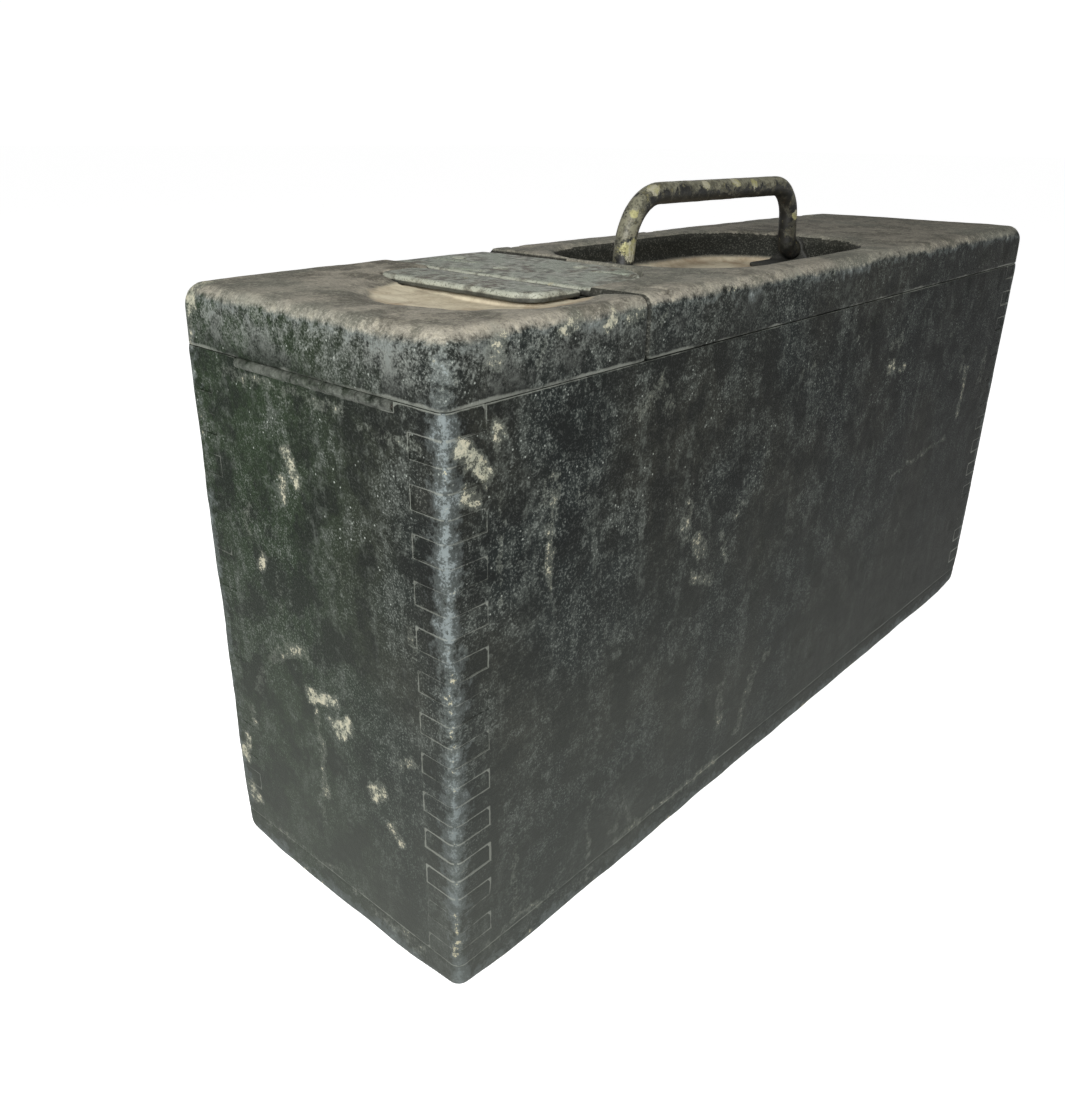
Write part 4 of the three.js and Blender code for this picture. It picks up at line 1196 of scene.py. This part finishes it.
def painted_wood(name, along):
    """Old dark green paint on wood whose grain runs along x, y or z."""
    s = Shader(name)
    broad, middling = s.noise(60, 3), s.noise(15, 5, 0.65)
    small, fine = s.noise(3.2, 6, 0.75), s.noise(0.7, 3, 0.7)
    smears = s.noise(6, 5, 0.65, s.stretched("z", SMEAR_STRETCH))
    wood, streaks = wood_colours(s, along)
    edge, seam, marks, dust, green, inside, sand, grime, film, bloom, far = s.vertices(
        "edge seam marks dust green inside sand grime film bloom far")

    # Paint, rubbed and speckled.
    paint = s.mix(broad.step(0.40, 0.60), srgb(22, 27, 26), srgb(35, 36, 31))
    paint = s.coat(paint, green.step(0.1, 0.8) * 0.9, 29, 42, 24)
    paint = s.coat(paint, middling.step(0.44, 0.60) * 0.7, 11, 14, 13)
    rubbed = (small - 0.7 * middling + 0.7 * smears).step(0.48, 0.74)
    paint = s.coat(paint, rubbed * 0.5, 76, 80, 75)
    grains = (fine + 0.35 * small).step(0.70, 0.82)
    patchy = (middling + 0.6 * broad).step(0.92, 0.66)
    paint = s.coat(paint, grains * (0.38 * patchy + 0.10 - 0.10 * film), 122, 127, 121)
    pits = (fine + 0.3 * small).step(0.60, 0.50)
    paint = s.coat(paint, pits * 0.7, 13, 15, 14)
    dots = s.dots(3.0).step(0.13, 0.06) * (middling + film).step(0.58, 0.46)
    paint = s.coat(paint, dots * 0.5, 176, 182, 174)

    # The pale coat low down, part dust and part painted floor-bounce light, the bloom on the cap, and
    # painted shade darkening the far end.
    # Painted floor-bounce light, partly dust: a pale coat thickens down the walls.
    paint = s.coat(paint, film * (0.8 * broad + 0.45) * 0.70, 68, 71, 66)
    mottled = 0.9 * small + 0.7 * middling + 0.6 * fine
    paint = s.coat(paint, bloom * mottled.step(0.96, 1.32) * 0.72, 128, 132, 126)
    # Painted shade towards the far end, where the light falls off.
    paint = s.coat(paint, far * 0.54, 10, 10, 8)

    # Pale wear on the edges and along the joints.
    rub = edge + 1.5 * small + 1.1 * middling - 1.3
    paint = s.coat(paint, rub.step(0.62, 0.84) * 0.36, 92, 98, 96)
    chalk = (rub + 0.7 * fine - 0.35).step(0.88, 1.14)
    paint = s.coat(paint, chalk * (-0.45 * film + 0.7), 118, 126, 126)
    cream = (edge + 1.6 * small - 1.2 * middling).step(1.32, 1.40)
    paint = s.coat(paint, cream * 0.7, 162, 156, 130)
    joint = (seam + 0.7 * middling + 0.5 * small).step(1.30, 1.58)
    paint = s.coat(paint, joint * seam * 0.58, 124, 127, 119)

    # The dusty top, sandy in its hollows.
    top = (dust + 0.8 * small + 1.2 * middling).step(1.32, 1.76)
    taupe = s.mix(middling.step(0.42, 0.60), srgb(148, 143, 130), srgb(100, 97, 87))
    # Painted shade: the dusty top darkens towards the far end too.
    taupe = s.coat(taupe, far * 0.5, 82, 82, 75)
    taupe = s.coat(taupe, small.step(0.48, 0.64) * 0.5, 168, 162, 144)
    taupe = s.coat(taupe, broad.step(0.46, 0.60) * 0.4, 118, 121, 111)
    taupe = s.coat(taupe, streaks.step(0.54, 0.68) * 0.25, 74, 72, 65)
    taupe = s.coat(taupe, pits * 0.45, 66, 63, 57)
    taupe = s.coat(taupe, grains * 0.3, 190, 185, 170)
    sandy = s.mix(middling.step(0.28, 0.66), srgb(160, 142, 118), srgb(210, 201, 176))
    sandy = s.coat(sandy, small.step(0.5, 0.66) * 0.35, 136, 120, 98)
    paint = s.mix(top, paint, s.mix((sand + 0.5 * small).step(0.55, 1.0), taupe, sandy))

    # Scratches and chipped paint, then dirt with painted shade in the hollows and gaps, then the bare
    # inside.
    scratch = marks + 1.9 * small + 0.9 * fine - 1.4
    paint = s.coat(paint, scratch.step(0.4, 0.8) * 0.3, 110, 114, 105)
    chip = scratch.step(0.84, 0.98) * marks.step(0.3, 0.6)
    chipped = s.mix(small.step(0.5, 0.62), srgb(150, 151, 134), srgb(186, 181, 158))
    paint = s.mix(chip * 0.68, paint, chipped)
    # Painted shade with dirt, laid in the recess, the groove and the gaps.
    dirt = s.mix(grains, srgb(38, 39, 35), srgb(78, 78, 72))
    paint = s.mix((grime + 0.4 * small).step(0.45, 0.9) * 0.92, paint, dirt)
    paint = s.mix(inside.step(0.4, 0.6), paint, wood)

    relief = 0.2 * streaks + 0.45 * small + 0.35 * fine - 0.3 * chip - 0.2 * joint
    s.surface["Specular IOR Level"].default_value = 0.09
    return s.finish(paint, 0.3 * small + 0.15 * top + 0.52, relief, 0.45)


def bare_wood(name):
    s = Shader(name)
    wood, streaks = wood_colours(s, "x")
    return s.finish(wood, 0.25 * streaks + 0.6, streaks, 0.4)


def painted_steel(name):
    """Olive paint worn thin and dusty over steel let into the top, with a painted highlight along the
    plates' edges and painted shade on their sides.
    """
    s = Shader(name)
    middling, small, fine = s.noise(11, 5, 0.65), s.noise(3.2, 6, 0.75), s.noise(0.8, 3, 0.7)
    marks, dust, grime, rim = s.vertices("marks dust grime rim")
    pale = s.mix(small.step(0.44, 0.56), srgb(154, 158, 144), srgb(88, 91, 80))
    pale = s.coat(pale, middling.step(0.53, 0.57) * 0.8, 138, 145, 130)
    pale = s.coat(pale, middling.step(0.47, 0.42) * small.step(0.45, 0.54) * 0.75, 104, 84, 62)
    # Pale rubbed paint along the plate's edge, partly a painted highlight.
    rubbed = (rim + 1.2 * small + 0.8 * middling - 1.0).step(0.45, 0.6)
    pale = s.coat(pale, rubbed * 0.7, 182, 184, 168)
    pale = s.coat(pale, (small - 0.9 * middling).step(0.10, 0.18) * 0.6, 62, 64, 56)
    worn = (dust + (middling + small) * 0.4).step(0.92, 1.2)
    paint = s.mix(middling.step(0.36, 0.64), srgb(38, 39, 34), srgb(56, 57, 49))
    paint = s.coat(paint, small.step(0.5, 0.66) * 0.5, 82, 83, 74)
    paint = s.mix(worn, paint, pale)
    paint = s.coat(paint, (fine + 0.3 * small).step(0.62, 0.50) * 0.6, 44, 42, 36)
    paint = s.coat(paint, (fine + 0.35 * small).step(0.74, 0.86) * 0.45, 184, 182, 166)
    # Painted shade with dirt darkens the plate sides and the parts down in the recess.
    paint = s.coat(paint, (grime + 0.5 * small).step(0.5, 0.95) * 0.85, 30, 30, 26)
    chip = (marks + 1.7 * small + 0.3 * fine - 1.0).step(0.66, 0.78)
    paint = s.coat(paint, chip * 0.8, 176, 170, 142)
    relief = 0.7 * small + 0.3 * fine - 0.3 * chip
    return s.finish(paint, 0.3 * small + 0.46, relief, 0.4, worn * 0.15)


def handle_steel(name):
    """Black paint flaking to yellow-green undercoat and grey steel, with painted light on the bar's upper
    side and a painted shadow on its right leg.
    """
    s = Shader(name)
    middling, small, fine = s.noise(10, 5, 0.7), s.noise(3.0, 5, 0.75), s.noise(0.7, 3, 0.65)
    marks, upper, dark = s.vertices("marks upper dark")
    black = s.mix(small.step(0.42, 0.60), srgb(20, 21, 18), srgb(46, 45, 38))
    thin = s.mix(small.step(0.45, 0.58), srgb(126, 124, 104), srgb(74, 73, 60))
    # Painted light: the flaking paint and its chipped spots lean to the upper side, where the bar is lit.
    lifted_and_top_lit = (middling + 0.2 * upper + 0.7 * small).step(0.82, 0.92)
    # Painted shadow darkens the right leg.
    paint = s.coat(s.mix(lifted_and_top_lit * 0.9, black, thin), dark * 0.8, 12, 12, 10)
    chips_and_top_lit = (small + 0.4 * fine + 0.05 * upper).step(0.81, 0.85)
    under = s.mix(fine.step(0.4, 0.6), srgb(152, 146, 108), srgb(104, 100, 74))
    paint = s.mix(chips_and_top_lit * 0.85, paint, under)
    gone = (marks + 1.2 * small - 0.6).step(0.52, 0.60)
    bare = s.mix(middling.step(0.46, 0.54), srgb(186, 182, 158), srgb(168, 164, 116))
    paint = s.mix(gone * 0.9, paint, bare)
    paint = s.coat(paint, fine.step(0.54, 0.66) * middling.step(0.5, 0.6) * 0.4, 84, 60, 40)
    relief = 0.35 * small + 0.15 * fine - 0.7 * chips_and_top_lit - 0.4 * lifted_and_top_lit
    return s.finish(paint, 0.4 * small + 0.32, relief, 0.5, gone * 0.3)


def bare_steel(name):
    s = Shader(name)
    small, fine = s.noise(3, 5, 0.6), s.noise(0.7, 3, 0.6)
    colour = s.mix(small.step(0.4, 0.65), srgb(132, 128, 120), srgb(96, 90, 82))
    colour = s.coat(colour, fine.step(0.55, 0.7) * 0.6, 92, 66, 44)
    return s.finish(colour, 0.35 * small + 0.32, fine, 0.1, 0.8)


along_x, along_y = painted_wood("worn_paint_along", "x"), painted_wood("worn_paint_across", "y")
looks = {
    "painted_wood": along_x, "worn_top_wood": along_x, "bare_wood": bare_wood("bare_wood_look"),
    "painted_steel": painted_steel("painted_steel_look"), "handle_steel": handle_steel("handle_look"),
    "bare_steel": bare_steel("bare_steel_look"),
}
across = {"hinge_end_wall", "far_end_wall", "lid_board", "hinge_leaf_box", "hinge_leaf_lid"}
for piece in bpy.data.objects:
    placed = "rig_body" in piece or "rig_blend" in piece
    if piece.type != "MESH" or piece.hide_render or not placed:
        continue
    piece.data.materials.clear()
    if "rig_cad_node" in piece:
        look = looks["bare_steel"]
    elif across & set(piece["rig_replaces"]):
        look = along_y
    else:
        look = looks[piece["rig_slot"]]
    piece.data.materials.append(look)


# ---- floor, light and camera ----

WORLD_LIGHT = 0.26
FLOOR_GLOW = 0.76
KEY_POWER = 10
FILL_POWER = 1.5
BACKDROP_SEEN = 1.05
CAMERA_PLACE = (-0.35308, -0.21918, 0.24682)
LENS = 31.30
HEADING, PITCH, ROLL = 48.071, -23.609, 0.633

bpy.ops.mesh.primitive_plane_add(size=30, location=(0, 0, 0))
floor = bpy.context.object
floor.name = "floor"
floor_look = Shader("pale_floor")
for socket, value in {"Base Color": (0.9, 0.9, 0.9, 1), "Roughness": 0.9,
                      "Emission Color": (1, 1, 1, 1), "Emission Strength": FLOOR_GLOW}.items():
    floor_look.surface[socket].default_value = value
floor.data.materials.append(floor_look.material)

# The background is white, and the light that it gives is softer than it looks.
world = bpy.data.worlds.new("studio")
world.use_nodes = True
world_nodes, world_links = world.node_tree.nodes, world.node_tree.links
backdrop = world_nodes["Background"]
seen_share = world_nodes.new("ShaderNodeMapRange")
seen_share.inputs["To Min"].default_value = WORLD_LIGHT
seen_share.inputs["To Max"].default_value = BACKDROP_SEEN
world_links.new(world_nodes.new("ShaderNodeLightPath").outputs["Is Camera Ray"],
                seen_share.inputs["Value"])
world_links.new(seen_share.outputs["Result"], backdrop.inputs["Strength"])
backdrop.inputs["Color"].default_value = (1, 1, 1, 1)
bpy.context.scene.world = world


def softbox(name, place, aim, size, power):
    """A square soft light at a place, pointing at aim."""
    light = bpy.data.lights.new(name, "AREA")
    light.size = size
    light.energy = power
    lamp = bpy.data.objects.new(name, light)
    bpy.context.scene.collection.objects.link(lamp)
    lamp.location = place
    lamp.rotation_euler = (Vector(aim) - Vector(place)).to_track_quat("-Z", "Y").to_euler()


softbox("key", (-0.78, -0.44, 0.55), (-0.15, 0, 0.1), 0.4, KEY_POWER)
softbox("fill", (0.75, 0.70, 0.30), (0, 0, 0.1), 0.5, FILL_POWER)

view = bpy.context.scene.view_settings
view.view_transform = "Standard"
view.look = "None"

camera_data = bpy.data.cameras.new("camera")
camera_data.lens = LENS
camera = bpy.data.objects.new("camera", camera_data)
heading, pitch, roll = (math.radians(a) for a in (HEADING, PITCH, ROLL))
ahead = Vector((math.sin(heading) * math.cos(pitch), math.cos(heading) * math.cos(pitch),
                math.sin(pitch)))
level = Vector((math.cos(heading), -math.sin(heading), 0))
right = math.cos(roll) * level + math.sin(roll) * level.cross(ahead)
turn = Matrix((right, right.cross(ahead), -ahead)).transposed()
camera.matrix_world = Matrix.Translation(CAMERA_PLACE) @ turn.to_4x4()
bpy.context.scene.collection.objects.link(camera)
bpy.context.scene.camera = camera
